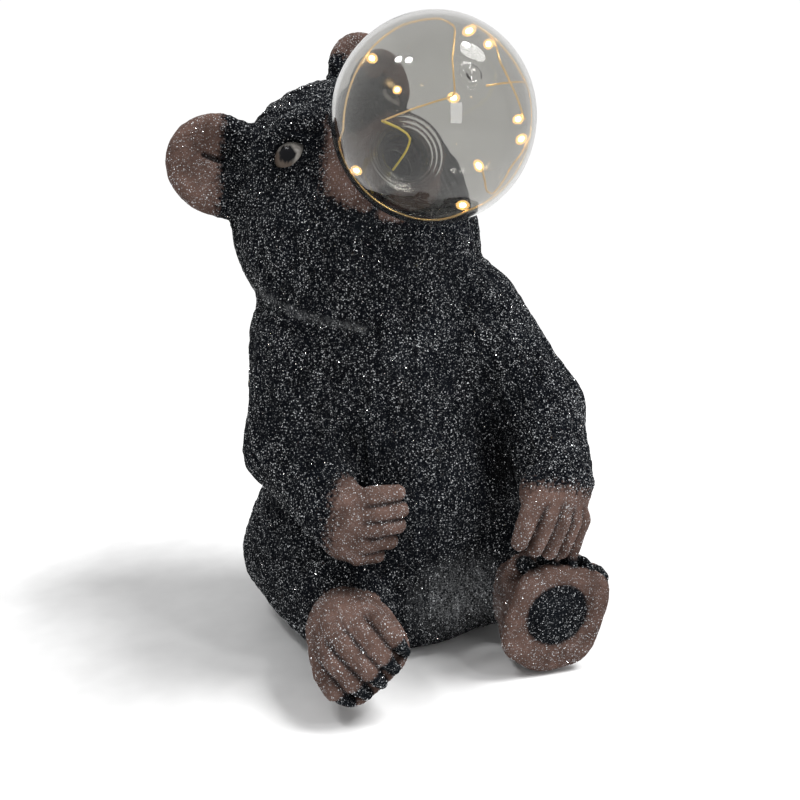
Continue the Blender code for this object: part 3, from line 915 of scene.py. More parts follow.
class Surface(Tree):
    """The tree of a new material, laid out over the piece's own coordinates."""

    def __init__(self, name: str) -> None:
        """Start the material."""
        self.material = bpy.data.materials.new(name)
        self.material.use_nodes = True
        super().__init__(self.material.node_tree)
        self.place = self.add("ShaderNodeTexCoord").outputs["Object"]

    def noise(self, scale: float, detail: float = 2.0,
              place: Optional[bpy.types.NodeSocket] = None) -> bpy.types.NodeSocket:
        """Return smooth noise from 0 to 1."""
        return self.add("ShaderNodeTexNoise", Vector=place or self.place, Scale=scale,
                        Detail=detail).outputs["Fac"]

    def stored(self, name: str, kind: str = "Fac") -> bpy.types.NodeSocket:
        """Return what the mesh stores under a name."""
        return self.add("ShaderNodeAttribute", {"attribute_name": name}).outputs[kind]

    def bump(self, height: bpy.types.NodeSocket, depth: float,
             strength: float) -> bpy.types.NodeSocket:
        """Return normals that a height of the given depth tilts."""
        return self.add("ShaderNodeBump", Height=height, Distance=depth,
                        Strength=strength).outputs["Normal"]

    def finished(self, **inputs: object) -> bpy.types.Material:
        """End the tree with a Principled shader and return the material."""
        shader = self.add("ShaderNodeBsdfPrincipled", **inputs)
        self.add("ShaderNodeOutputMaterial", Surface=shader.outputs[0])
        return self.material


def shaded(colour: Colour) -> tuple[float, float, float, float]:
    """Return a colour with full opacity."""
    return (*colour, 1.0)


@dataclass(frozen=True)
class CoatFinish:
    """Painted resin under a dense coat of glitter sand.

    Each set of specks has its scale, the size of its grains and how rare the bright ones are.
    """

    name: str = "glittered coat"
    black: Colour = (0.0022, 0.0028, 0.0042)
    brown: Colour = (0.092, 0.057, 0.047)
    claw: Colour = (0.0035, 0.0045, 0.006)
    # colour of the painted highlights on the lower belly and the jowl's edge
    sheen_grey: Colour = (0.20, 0.205, 0.21)
    speck: Colour = (0.66, 0.68, 0.70)
    roughness: float = 0.85
    specular: float = 0.02
    coarse_specks: tuple = (1180.0, 0.46, 3.8)
    coarse_share: float = 0.80
    fine_specks: tuple = (1900.0, 0.46, 6.0)
    fine_share: float = 0.13
    # rare bright specks: painted glints of light off the glitter
    glint_specks: tuple = (480.0, 0.20, 7.0)
    edge_scale: float = 500.0
    mottle_scale: float = 90.0
    # scale of the noise that breaks up those painted highlights
    sheen_noise_scale: float = 1100.0
    patch_scale: float = 38.0
    strand_scale: float = 620.0
    strand_stride: float = 0.0009
    strand_steps: int = 4
    bump_depth: float = 0.0005

    def material(self) -> bpy.types.Material:
        """Return the coat's material, whose colour also holds painted light and shade."""
        tree = Surface(self.name)
        zones = {zone: tree.stored(zone) for zone in ZONES}
        strands = self.strands(tree)
        # painted light and shade in the specks: more on the tops of the fur's ridges, fewer in its
        # valleys, in folds and round the eyes, over random patches
        lit_ridges = tree.product(tree.scaled(tree.ramp(zones["relief"], -0.06, 0.08), 0.9, 0.25),
                             tree.scaled(strands, 1.1, 0.25))
        patch = tree.scaled(tree.ramp(tree.noise(self.patch_scale, 4.0), 0.32, 0.68), 1.0, 0.6)
        lit_speck_density = tree.product(tree.scaled(lit_ridges, 0.9, 0.35), patch,
                            tree.scaled(zones["clear"], 0.95, 0.10))
        coarse, grain = self.specks(tree, *self.coarse_specks)
        fine, dust = self.specks(tree, *self.fine_specks)
        # painted glints off the glitter
        glint, _ = self.specks(tree, *self.glint_specks)
        colour = self.paint(tree, zones, strands)
        for share in (tree.product(fine, lit_speck_density, self.fine_share),
                      tree.product(coarse, lit_speck_density, self.coarse_share), glint):
            colour = tree.mix(share, colour, shaded(self.speck))
        height = tree.math("ADD", tree.product(grain, 0.6), tree.product(dust, 0.3))
        height = tree.math("ADD", height, tree.product(strands, 1.2))
        return tree.finished(Base_Color=colour, Roughness=tree.scaled(grain, -0.3, self.roughness),
                             Normal=tree.bump(height, self.bump_depth, 0.6),
                             Specular_IOR_Level=self.specular)

    def paint(self, tree: Surface, zones: dict,
              strands: bpy.types.NodeSocket) -> bpy.types.NodeSocket:
        """Return the colour of the paint under the glitter, with ragged edges and mottling, painted
        shade in folds and round the eyes, and a painted sheen on the lower belly and the jowl's
        edge.
        """
        edge = tree.scaled(tree.noise(self.edge_scale, 3.0), 1.4,
                           tree.math("SUBTRACT", zones["brown"], 0.7))
        base = tree.mix(tree.ramp(edge, 0.25, 0.75), shaded(self.black), shaded(self.brown))
        # painted sheen: grey highlights on the lower belly and along the jowl's edge, broken up by
        # noise and by the strands
        painted_sheen = tree.product(zones["pale"], tree.ramp(tree.noise(self.sheen_noise_scale), 0.38, 0.66),
                            tree.scaled(strands, 0.9, 0.35))
        base = tree.mix(painted_sheen, base, shaded(self.sheen_grey))
        base = tree.mix(zones["black"], base, shaded(self.claw))
        # random mottling, darkened further by painted shade in folds and round the eyes
        mottle = tree.ramp(tree.noise(self.mottle_scale, 3.0), 0.3, 0.7)
        shade = tree.product(tree.scaled(mottle, 0.7, 0.65),
                             tree.scaled(zones["clear"], 0.75, 0.35))
        return tree.mix(1.0, base, shade, "MULTIPLY")

    def strands(self, tree: Surface) -> bpy.types.NodeSocket:
        """Return fine strands from 0 to 1, as noise averaged along the way that the fur lies."""
        comb = tree.stored(FUR_WAY, "Vector")
        layers = []
        for turn in range(-self.strand_steps, self.strand_steps + 1):
            step = tree.add("ShaderNodeVectorMath", {"operation": "SCALE"}, i0=comb,
                            Scale=turn * self.strand_stride)
            spot = tree.add("ShaderNodeVectorMath", {"operation": "ADD"}, i0=tree.place,
                            i1=step.outputs[0])
            layers.append(tree.noise(self.strand_scale, 0.0, spot.outputs[0]))
        total = reduce(lambda first, second: tree.math("ADD", first, second), layers)
        return tree.ramp(tree.math("DIVIDE", total, float(len(layers))), 0.40, 0.60)

    @staticmethod
    def specks(tree: Surface, scale: float, size: float, rarity: float) -> tuple:
        """Return a mask of round specks of uneven brightness, and the even grains under them; the
        uneven brightness is partly the glitter's own tone and partly painted glints.
        """
        cells = tree.add("ShaderNodeTexVoronoi", Vector=tree.place, Scale=scale)
        chance = tree.add("ShaderNodeSeparateColor", Color=cells.outputs["Color"])
        dot = tree.ramp(cells.outputs["Distance"], size, size * 0.55)
        return tree.product(dot, tree.math("POWER", chance.outputs[0], rarity)), dot


@dataclass(frozen=True)
class PlainFinish:
    """A finish of one colour with fine uneven gloss."""

    name: str
    colour: Colour
    roughness: float = 0.4
    metallic: float = 0.0
    glow: float = 0.0
    alpha: float = 1.0
    grain: float = 900.0
    depth: float = 0.00004

    def material(self) -> bpy.types.Material:
        """Return the material."""
        tree = Surface(self.name)
        noise = tree.noise(self.grain)
        dark = tuple(0.82 * value for value in self.colour)
        return tree.finished(
            Base_Color=tree.mix(noise, shaded(dark), shaded(self.colour)),
            Roughness=tree.scaled(noise, 0.3 * self.roughness, 0.85 * self.roughness),
            Normal=tree.bump(noise, self.depth, 0.5), Metallic=self.metallic, Alpha=self.alpha,
            Emission_Color=shaded(self.colour), Emission_Strength=self.glow)


@dataclass(frozen=True)
class EyeFinish:
    """Glossy painted eyes: a black iris in a pale rim."""

    name: str = "painted eyes"
    white: Colour = (0.25, 0.24, 0.225)
    shade: Colour = (0.085, 0.065, 0.052)
    iris: Colour = (0.003, 0.003, 0.004)
    grain: float = 700.0
    specular: float = 0.10

    def material(self) -> bpy.types.Material:
        """Return the eyes' material."""
        tree = Surface(self.name)
        noise = tree.noise(self.grain)
        white = tree.mix(tree.stored("lower"), shaded(self.white), shaded(self.shade))
        white = tree.mix(tree.product(noise, 0.5), white, shaded(self.shade))
        return tree.finished(Base_Color=tree.mix(tree.stored("iris"), white, shaded(self.iris)),
                             Roughness=tree.scaled(noise, 0.08, 0.10),
                             Specular_IOR_Level=self.specular)


@dataclass(frozen=True)
class GlassFinish:
    """Clear blown glass with a faint smoky tint and small flow waves."""

    name: str = "clear blown glass"
    tint: Colour = (0.565, 0.56, 0.54)
    refraction: float = 1.45
    wave_scale: float = 55.0
    wave_depth: float = 0.00012

    def material(self) -> bpy.types.Material:
        """Return the glass."""
        tree = Surface(self.name)
        wave = tree.noise(self.wave_scale, 1.0)
        return tree.finished(Base_Color=shaded(self.tint), Roughness=tree.scaled(wave, 0.02, 0.0),
                             Normal=tree.bump(wave, self.wave_depth, 0.5),
                             Transmission_Weight=1.0, IOR=self.refraction)


# Objects


def add_object(name: str, data: bpy.types.ID) -> bpy.types.Object:
    """Put a mesh, curve, lamp or camera in the scene."""
    item = bpy.data.objects.new(name, data)
    bpy.context.scene.collection.objects.link(item)
    return item


def add_piece(name: str, mesh: bpy.types.Mesh, finish: bpy.types.Material) -> bpy.types.Object:
    """Put a mesh in the scene with its material."""
    mesh.materials.clear()
    mesh.materials.append(finish)
    return add_object(name, mesh)


def finished_mesh(item: bpy.types.Object, name: str) -> bpy.types.Mesh:
    """Return the plain mesh of an object with its modifiers worked in."""
    graph = bpy.context.evaluated_depsgraph_get()
    mesh = bpy.data.meshes.new_from_object(item.evaluated_get(graph), depsgraph=graph)
    mesh.name = name
    return mesh


def install(item: bpy.types.Object, node: Optional[str] = None) -> None:
    """Let a piece ride on the statue and hide the node that it stands for."""
    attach(item, BODY)
    if node:
        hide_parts(node)
    LOG.info("%s: %d faces", item.name, len(item.data.polygons))


def add_values(mesh: bpy.types.Mesh, name: str, values: Array) -> None:
    """Store one number for each point of a mesh."""
    layer = mesh.attributes.new(name, "FLOAT", "POINT")
    layer.data.foreach_set("value", np.asarray(values, dtype=np.float32))


def points_of(mesh: bpy.types.Mesh, kind: str = "co") -> Array:
    """Return a mesh's points, or their outward ways, as an array."""
    flat = np.empty(3 * len(mesh.vertices))
    if kind == "co":
        mesh.vertices.foreach_get("co", flat)
    else:
        mesh.vertex_normals.foreach_get("vector", flat)
    return flat.reshape(-1, 3)


def face_out(mesh: bpy.types.Mesh) -> None:
    """Point the faces of a closed mesh outwards."""
    shape = bmesh.new()
    shape.from_mesh(mesh)
    bmesh.ops.recalc_face_normals(shape, faces=shape.faces[:])
    shape.to_mesh(mesh)
    shape.free()


class Growth(Tree):
    """A geometry tree with named inputs that makes a piece from a simple base."""

    def __init__(self, name: str, **inputs: str) -> None:
        """Start the tree.

        Args:
            name: The tree's name.
            **inputs: The kind of each input after the geometry and before the finish.
        """
        group = bpy.data.node_groups.new(name, "GeometryNodeTree")
        for title, kind in {"Geometry": "Geometry", **inputs, "Finish": "Material"}.items():
            group.interface.new_socket(title, in_out="INPUT", socket_type="NodeSocket" + kind)
        group.interface.new_socket("Geometry", in_out="OUTPUT", socket_type="NodeSocketGeometry")
        super().__init__(group)
        self.entry = self.add("NodeGroupInput")

    def given(self, name: str) -> bpy.types.NodeSocket:
        """Return one of the tree's inputs."""
        return self.entry.outputs[name]

    def strewn(self, points: bpy.types.NodeSocket, shape: bpy.types.NodeSocket,
               size: bpy.types.NodeSocket) -> bpy.types.NodeSocket:
        """Return a shape on each point, turned at random."""
        turn = self.add("FunctionNodeRandomValue", {"data_type": "FLOAT_VECTOR"}, Max=FULL_TURN)
        return self.add("GeometryNodeInstanceOnPoints", Points=points, Instance=shape,
                        Rotation=turn.outputs[0], Scale=size).outputs["Instances"]

    def grow(self, name: str, base: bpy.types.ID, result: bpy.types.NodeSocket,
             finish: bpy.types.Material, **values: object) -> bpy.types.Object:
        """End the tree, run it and return its piece.

        Args:
            name: The piece's name.
            base: The mesh or curve that the tree starts from.
            result: The tree's last geometry, which is made real and gets the finish.
            finish: The piece's material.
            **values: Values for the tree's other inputs.

        Returns:
            The piece.
        """
        real = self.add("GeometryNodeRealizeInstances", Geometry=result)
        dressed = self.add("GeometryNodeSetMaterial", Geometry=real.outputs[0],
                           Material=self.given("Finish"))
        self.add("NodeGroupOutput", Geometry=dressed.outputs[0])
        item = add_object(name + " base", base)
        modifier = item.modifiers.new(name, "NODES")
        modifier.node_group = self.tree
        values["Finish"] = finish
        for socket in self.tree.interface.items_tree:
            if socket.item_type == "SOCKET" and socket.in_out == "INPUT" and socket.name in values:
                modifier[socket.identifier] = values[socket.name]
        mesh = finished_mesh(item, name)
        bpy.data.objects.remove(item)
        return add_piece(name, mesh, finish)


@dataclass(frozen=True)
class Bear:
    """The bear's casting with its coat, eyes and glitter."""

    form: BearForm
    shift: Array
    step: float = 1.35 * MILLIMETRE / SHARE
    brown_calm: float = 0.75
    face_budget: int = 194000
    grain_count: int = 30000
    grain_radius: float = 0.00042
    grain_sizes: tuple = (0.5, 1.15)
    grain_floor: float = 2.0 * MILLIMETRE
    seed: int = 11
    look: tuple = (-0.05, 1.0, 0.06)
    iris_edge: tuple = (27.5, 25.0)

    def build(self) -> list[bpy.types.Object]:
        """Build the casting, the eyes and the glitter grains."""
        casting = self.casting(CoatFinish().material())
        eyes, grains = self.eyes(), self.grains(casting)
        install(casting, "bear")
        for item in (eyes, grains):
            install(item)
        return [casting, eyes, grains]

    def placed(self, points: Array) -> Array:
        """Return places in shares as places in the scene."""
        return points * SHARE + self.shift

    def casting(self, coat: bpy.types.Material) -> bpy.types.Object:
        """Mesh the bear, comb its fur and paint it."""
        step = self.step * 1.0
        points, outward, faces = SkinMesher(step).mesh(self.form.distance)
        LOG.info("skin of %d quads", len(faces))
        fur = Fur()
        paint = Paint(self.form)
        ways = self.form.combing(points, outward)
        bare = 1.0 - self.brown_calm * in_blocks(paint.brown, points)
        bare *= 1.0 - in_blocks(paint.black, points)
        bare *= self.away_from_fits(points)
        points = points + (fur.strands(points, ways) * bare)[:, None] * outward
        points[:, 2] = np.maximum(points[:, 2], 0.0)
        mesh = bpy.data.meshes.new("bear_casting")
        mesh.from_pydata(self.placed(points).tolist(), [], faces.tolist())
        mesh.update()
        item = add_piece("bear_casting", mesh, coat)
        thinning = item.modifiers.new("face budget", "DECIMATE")
        thinning.ratio = min(1.0, self.face_budget / (2.0 * len(faces)))
        skin = finished_mesh(item, "bear_casting")
        item.modifiers.clear()
        item.data = skin
        skin.materials.clear()
        skin.materials.append(coat)
        skin.shade_smooth()
        spots = (points_of(skin) - self.shift) / SHARE
        away = points_of(skin, "normal")
        ways = self.form.combing(spots, away)
        together = np.concatenate((spots, away), axis=1)
        # clear holds painted shade for folds and round the eyes, and pale holds painted highlights
        # for the lower belly and the jowl's edge
        clear = in_blocks(lambda rows: paint.fold_shade(rows[:, :3], rows[:, 3:]), together)
        values = (in_blocks(paint.brown, spots), in_blocks(paint.black, spots), paint.pale(spots),
                  fur.strands(spots, ways), clear)
        for zone, value in zip(ZONES, values):
            add_values(skin, zone, value)
        layer = skin.attributes.new(FUR_WAY, "FLOAT_VECTOR", "POINT")
        layer.data.foreach_set("vector", ways.astype(np.float32).ravel())
        return item

    def away_from_fits(self, points: Array) -> Array:
        """Return 0 in the eyes and the socket and 1 where the fur is free."""
        form = self.form
        free = fade(ball(points, form.seat_centre, [form.seat_radius] * 3), 0.05, 0.5)
        free *= fade(form.socket(points), 0.1, 0.5)
        local = in_frame(points, form.head_centre, form.head_axes)
        for side in MIRRORED:
            free *= fade(np.linalg.norm(local - form.eye_at(side), axis=1), 1.2, 1.9)
        return free * fade(points[:, 2], 0.05, 0.5)

    def eyes(self) -> bpy.types.Object:
        """Return the two glossy eyeballs with their painted irises."""
        form = self.form
        shape = bmesh.new()
        bmesh.ops.create_uvsphere(shape, u_segments=48, v_segments=32, radius=1.0)
        local = np.array([vertex.co for vertex in shape.verts])
        faces = [[vertex.index for vertex in face.verts] for face in shape.faces]
        shape.free()
        places, quads, iris, lower = [], [], [], []
        for side in MIRRORED:
            axes = form.eye_axes(side)
            centre = form.eye_at(side) - form.eyeball_depth * axes[1]
            spots = centre + form.eyeball * local @ axes
            quads += [[index + len(iris) for index in face] for face in faces]
            look = unit(mirrored(self.look, side))
            turn = np.degrees(np.arccos(np.clip(local @ look, -1.0, 1.0)))
            places.append(spots @ form.head_axes + form.head_centre)
            iris += list(fade(turn, *self.iris_edge))
            lower += list(fade(local[:, 0] * side - 0.35 * local[:, 2], -0.05, 0.25))
        mesh = bpy.data.meshes.new("eyes")
        mesh.from_pydata(self.placed(np.concatenate(places)).tolist(), [], quads)
        face_out(mesh)
        mesh.shade_smooth()
        add_values(mesh, "iris", iris)
        add_values(mesh, "lower", lower)
        return add_piece("eyes", mesh, EyeFinish().material())

    def grains(self, casting: bpy.types.Object) -> bpy.types.Object:
        """Return bright grains strewn over the coat."""
        finish = PlainFinish("glitter grains", (0.80, 0.82, 0.84), roughness=0.18, metallic=0.85,
                             grain=300.0)
        tree = Growth("strewn grains", Density="Float", Radius="Float", Seed="Int")
        place = tree.add("GeometryNodeInputPosition").outputs[0]
        height = tree.add("ShaderNodeSeparateXYZ", Vector=place).outputs["Z"]
        spots = tree.add("GeometryNodeDistributePointsOnFaces", {"distribute_method": "RANDOM"},
                         Mesh=tree.given("Geometry"), Density=tree.given("Density"),
                         Seed=tree.given("Seed"),
                         Selection=tree.math("GREATER_THAN", height, self.grain_floor))
        crystal = tree.add("GeometryNodeMeshCone", Vertices=3, Radius_Bottom=tree.given("Radius"),
                           Depth=tree.given("Radius"))
        smallest, largest = self.grain_sizes
        size = tree.add("FunctionNodeRandomValue", {"data_type": "FLOAT"}, Seed=3, i2=smallest,
                        i3=largest)
        strewn = tree.strewn(spots.outputs["Points"], crystal.outputs["Mesh"], size.outputs[1])
        area = sum(face.area for face in casting.data.polygons)
        item = tree.grow("glitter_grains", casting.data.copy(), strewn, finish.material(),
                         Density=self.grain_count / area, Radius=self.grain_radius, Seed=self.seed)
        layers = item.data.attributes
        for name in [layer.name for layer in layers if layer.name in (*ZONES, FUR_WAY)]:
            layers.remove(layers[name])
        return item


@dataclass(frozen=True)
class BubbleGlobe:
    """The clear blown globe with its ribbed neck and moulding pip."""

    sizes: GlobeSizes
    shift: Array
    sides: int = 96
    rings: int = 40
    fillet: float = 0.003
    inner_fillet: float = 0.0045
    pip_sink: float = 0.0002
    neck_bevel: float = 0.0006
    ripple_radii: tuple = (0.0128, 0.0150, 0.0172, 0.0196)
    ripple_rise: float = 0.0006
    ripple_width: float = 0.0006
    ripple_reach: float = 0.0225

    @staticmethod
    def plain_profile(sizes: GlobeSizes, rings: int) -> list[tuple[float, float]]:
        """Return the plain solid's half outline as radius and height."""
        ball_radius = sizes.diameter / 2.0
        neck = sizes.neck / 2.0
        first = math.asin(sizes.pip / 2.0 / ball_radius)
        last = math.pi - math.asin(neck / ball_radius)
        profile = [(0.0, ball_radius + sizes.pip_rise),
                   (sizes.pip / 4.0, ball_radius + 0.7 * sizes.pip_rise)]
        for index in range(rings + 1):
            angle = first + (last - first) * index / rings
            profile.append((ball_radius * math.sin(angle), ball_radius * math.cos(angle)))
        profile.append((neck, -ball_radius - sizes.neck_length))
        return profile

    @staticmethod
    def turned(profile: Sequence[tuple[float, float]], sides: int, way: Array,
               centre: Array) -> Array:
        """Return the places of a profile turned round the globe's axis, one ring after another."""
        angles = math.tau * np.arange(sides) / sides
        turn = np.array(Vector(way).to_track_quat("Z", "Y").to_matrix())
        circle = np.stack((np.cos(angles), np.sin(angles), np.zeros(sides)), axis=1)
        rings = [radius * circle + (0.0, 0.0, height) for radius, height in profile]
        return np.concatenate(rings) @ turn.T + centre

    @classmethod
    def frame_shift(cls, sizes: GlobeSizes) -> Array:
        """Return the step from the figure's own frame to the statue's, from the globe's box."""
        spots = cls.turned(cls.plain_profile(sizes, 8), 26, sizes.way, sizes.centre)
        low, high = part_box("bubble_globe")
        return (np.array(low) + np.array(high) - spots.min(axis=0) - spots.max(axis=0)) / 2.0

    def profile(self) -> list[tuple[float, float]]:
        """Return the globe's closed half outline: outside, round the neck's end, inside."""
        sizes = self.sizes
        ball_radius = sizes.diameter / 2.0
        neck, bore = sizes.neck / 2.0, sizes.bore / 2.0
        hollow = ball_radius - sizes.wall
        rim = sizes.pip / 2.0
        top = ball_radius
        result = [(0.0, top - self.pip_sink), (0.35 * rim, top + 0.1 * sizes.pip_rise),
                  (0.6 * rim, top + 0.7 * sizes.pip_rise), (0.8 * rim, top + sizes.pip_rise),
                  (rim, top + 0.75 * sizes.pip_rise),
                  (1.15 * rim, top + 0.15 * sizes.pip_rise - self.pip_sink)]
        start = math.asin(1.35 * rim / ball_radius)
        outer = self.bend(ball_radius, neck, self.fillet)
        result += self.arc(ball_radius, start, outer[0], self.rings)
        result += self.corner(outer)
        end = -ball_radius - sizes.neck_length
        pitch = sizes.neck_length / (sizes.rib_count + 1.0)
        for index in range(sizes.rib_count):
            middle = -ball_radius - pitch * (index + 1.0)
            for drop, rise in ((2.0, 0.0), (1.0, 0.7), (0.0, 1.0), (-1.0, 0.7), (-2.0, 0.0)):
                result.append((neck + rise * sizes.rib_rise, middle + drop * sizes.rib_rise))
        bevel = self.neck_bevel
        result += [(neck, end + bevel), (neck - bevel, end), (bore + bevel, end),
                   (bore, end + bevel)]
        inner = self.bend(hollow, bore, self.inner_fillet)
        result += self.corner(inner)[::-1]
        calm = math.pi - math.asin(self.ripple_reach / hollow)
        for radius, height in self.arc(hollow, inner[0], calm, 2 * self.rings):
            rise = self.ripple_rise * sum(math.exp(-(((radius - middle) / self.ripple_width) ** 2))
                                          for middle in self.ripple_radii)
            result.append((radius * (1.0 - rise / hollow), height + rise))
        result += self.arc(hollow, calm, 0.0, self.rings)[1:]
        return result

    @staticmethod
    def bend(ball_radius: float, neck: float, fillet: float) -> tuple[float, float, float, float]:
        """Return a fillet between the ball and the neck: its end angle, middle and radius."""
        middle = neck + fillet
        height = -math.sqrt((ball_radius + fillet) ** 2 - middle ** 2)
        return math.pi - math.asin(middle / (ball_radius + fillet)), middle, height, fillet

    @staticmethod
    def corner(bend: tuple[float, float, float, float],
               count: int = 7) -> list[tuple[float, float]]:
        """Return the places of a fillet, from the ball to the neck."""
        _, middle, height, fillet = bend
        start = math.atan2(-height, -middle)
        result = []
        for index in range(1, count + 1):
            angle = start + (math.pi - start) * index / count
            result.append((middle + fillet * math.cos(angle), height + fillet * math.sin(angle)))
        return result

    @staticmethod
    def arc(radius: float, start: float, end: float, count: int) -> list[tuple[float, float]]:
        """Return the places of an arc round the ball's middle."""
        angles = [start + (end - start) * index / count for index in range(count + 1)]
        return [(radius * abs(math.sin(angle)), radius * math.cos(angle)) for angle in angles]

    def build(self) -> list[bpy.types.Object]:
        """Build the glass."""
        shape = bmesh.new()
        profile = self.profile()
        verts = [shape.verts.new((radius, 0.0, height)) for radius, height in profile]
        edges = [shape.edges.new(pair) for pair in zip(verts, verts[1:])]
        bmesh.ops.spin(shape, geom=verts + edges, cent=(0.0, 0.0, 0.0), axis=(0.0, 0.0, 1.0),
                       angle=math.tau, steps=self.sides, use_merge=True)
        bmesh.ops.remove_doubles(shape, verts=shape.verts[:], dist=1e-6)
        turn = Vector(self.sizes.way).to_track_quat("Z", "Y").to_matrix().to_4x4()
        place = Matrix.Translation(Vector(self.sizes.centre + self.shift))
        bmesh.ops.transform(shape, matrix=place @ turn, verts=shape.verts[:])
        bmesh.ops.recalc_face_normals(shape, faces=shape.faces[:])
        mesh = bpy.data.meshes.new("globe_glass")
        shape.to_mesh(mesh)
        shape.free()
        mesh.shade_smooth()
        item = add_piece("globe_glass", mesh, GlassFinish().material())
        install(item, "bubble_globe")
        return [item]


@dataclass(frozen=True)
class LightString:
    """A thin gold wire with warm lamps, laid round the inside of the globe.

    Stops and lamps are in degrees from the globe's far pole and round its axis.  The lead's
    stops are along the axis, level and upwards, in shares of the globe's radius.
    """

    sizes: GlobeSizes
    shift: Array
    wire_radius: float = 0.00040
    lead_radius: float = 0.00055
    lamp_radius: float = 0.0011
    drop_radius: float = 0.0021
    lamp_stretch: float = 1.5
    bead_gap: float = 0.0003
    wire_gap: float = 0.0002
    strands: tuple = (
        ((52, -20), (28, -28), (13, -48), (13, 51), (34, 88), (44, 81), (54, 54), (63, 30),
         (83, -10), (105, -14), (112, -28), (114, -44), (112, -69), (96, -90), (83, -101),
         (76, -124), (73, -150), (59, -153)),
        ((43, 107), (38, 127), (42, 165), (58, -179), (64, -166), (59, -153)),
        ((38, 127), (24, 149), (27, -180), (39, -160), (44, -158)),
        ((49, -104), (66, -110), (73, -117), (58, -130), (59, -153)),
        ((10, -157), (27, 178), (56, 169)),
    )
    lead_stops: tuple = ((-1.38, 0.08, -0.08), (-1.25, 0.07, -0.09), (-1.12, 0.02, -0.02),
                         (-1.0, -0.06, 0.08), (-0.86, -0.08, 0.22))
    lamps: tuple = ((43, 107), (38, 127), (63, 30), (13, -48), (112, -28), (44, -158),
                    (59, -153), (49, -104), (83, -101), (137, 79))

    def on_wall(self, polar: float, around: float, inset: float) -> Array:
        """Return a place just inside the globe's wall.

        Args:
            polar: Degrees from the globe's far pole.
            around: Degrees round the globe's axis.
            inset: Distance from the inner wall.

        Returns:
            The place in the scene.
        """
        way, side, top = self.sizes.axes
        polar, around = math.radians(polar), math.radians(around)
        level = math.cos(around) * side + math.sin(around) * top
        out = math.cos(polar) * way + math.sin(polar) * level
        radius = self.sizes.diameter / 2.0 - self.sizes.wall - inset
        return self.sizes.centre + self.shift + radius * out

    def strand(self, stops: Sequence[tuple[float, float]]) -> list[Array]:
        """Return a fine path along the wall through the stops."""
        places = [self.on_wall(*stop, 0.0) - self.sizes.centre - self.shift for stop in stops]
        radius = self.sizes.diameter / 2.0 - self.sizes.wall - self.wire_radius - self.wire_gap
        path = []
        for start, end in zip(places, places[1:]):
            count = max(2, int(np.linalg.norm(end - start) / 0.004))
            for index in range(count):
                mixed = start + (end - start) * index / count
                path.append(radius * unit(mixed) + self.sizes.centre + self.shift)
        path.append(radius * unit(places[-1]) + self.sizes.centre + self.shift)
        return path

    def build(self) -> list[bpy.types.Object]:
        """Build the wire, the lead and the lamps."""
        # the wire and the lead glow a little: painted light from the lamps round them
        gold = PlainFinish("gold wire", (0.95, 0.66, 0.30), roughness=0.22, metallic=1.0, glow=0.30)
        yellow = PlainFinish("yellow lead", (0.85, 0.66, 0.05), roughness=0.35, glow=0.35)
        glow = PlainFinish("warm lamps", (1.0, 0.80, 0.48), roughness=0.3, glow=16.0)
        # the drops' glow is partly the lit resin round each lamp and partly a painted halo of its
        # light
        halo = PlainFinish("warm resin drops", (1.0, 0.66, 0.24), roughness=0.3, glow=1.6,
                           alpha=0.30)
        wires = [self.strand(stops) for stops in self.strands]
        pieces = [self.tubes("light_wire", wires, self.wire_radius, gold),
                  self.tubes("light_lead", [self.lead_path()], self.lead_radius, yellow),
                  self.beads("lamps", self.lamp_radius, glow),
                  self.beads("lamp_drops", self.drop_radius, halo)]
        for item in pieces:
            install(item)
        return pieces

    def lead_path(self) -> list[Array]:
        """Return the path of the lead, from the neck's end to the first lamp."""
        way, side, top = self.sizes.axes
        half = self.sizes.diameter / 2.0
        middle = self.sizes.centre + self.shift
        path = [half * (a * way + b * side + c * top) + middle for a, b, c in self.lead_stops]
        return path + [self.strand(self.strands[0])[0]]

    def tubes(self, name: str, paths: Sequence[Sequence[Array]], radius: float,
              finish: PlainFinish) -> bpy.types.Object:
        """Return round tubes swept along smooth paths."""
        curve = bpy.data.curves.new(name, "CURVE")
        curve.dimensions = "3D"
        for path in paths:
            line = curve.splines.new("NURBS")
            line.points.add(len(path) - 1)
            for spot, place in zip(line.points, path):
                spot.co = (*place, 1.0)
            line.order_u = 3
            line.use_endpoint_u = True
            line.resolution_u = 3
        tree = Growth("swept tube", Radius="Float")
        ring = tree.add("GeometryNodeCurvePrimitiveCircle", Resolution=8,
                        Radius=tree.given("Radius"))
        swept = tree.add("GeometryNodeCurveToMesh", Curve=tree.given("Geometry"),
                         Profile_Curve=ring.outputs["Curve"], Fill_Caps=True)
        smooth = tree.add("GeometryNodeSetShadeSmooth", Geometry=swept.outputs["Mesh"])
        item = tree.grow(name, curve, smooth.outputs[0], finish.material(), Radius=radius)
        face_out(item.data)
        return item

    def beads(self, name: str, radius: float, finish: PlainFinish) -> bpy.types.Object:
        """Return one long bead on the wire for each lamp."""
        room = self.drop_radius * self.lamp_stretch + self.bead_gap
        spots = bpy.data.meshes.new("lamp places")
        spots.from_pydata([self.on_wall(*lamp, room) for lamp in self.lamps], [], [])
        tree = Growth("lamps on the wire", Radius="Float")
        bead = tree.add("GeometryNodeMeshIcoSphere", Radius=tree.given("Radius"), Subdivisions=3)
        size = tree.add("ShaderNodeCombineXYZ", X=1.0, Y=1.0, Z=self.lamp_stretch)
        placed = tree.strewn(tree.given("Geometry"), bead.outputs["Mesh"], size.outputs[0])
        item = tree.grow(name, spots, placed, finish.material(), Radius=radius)
        item.data.shade_smooth()
        return item


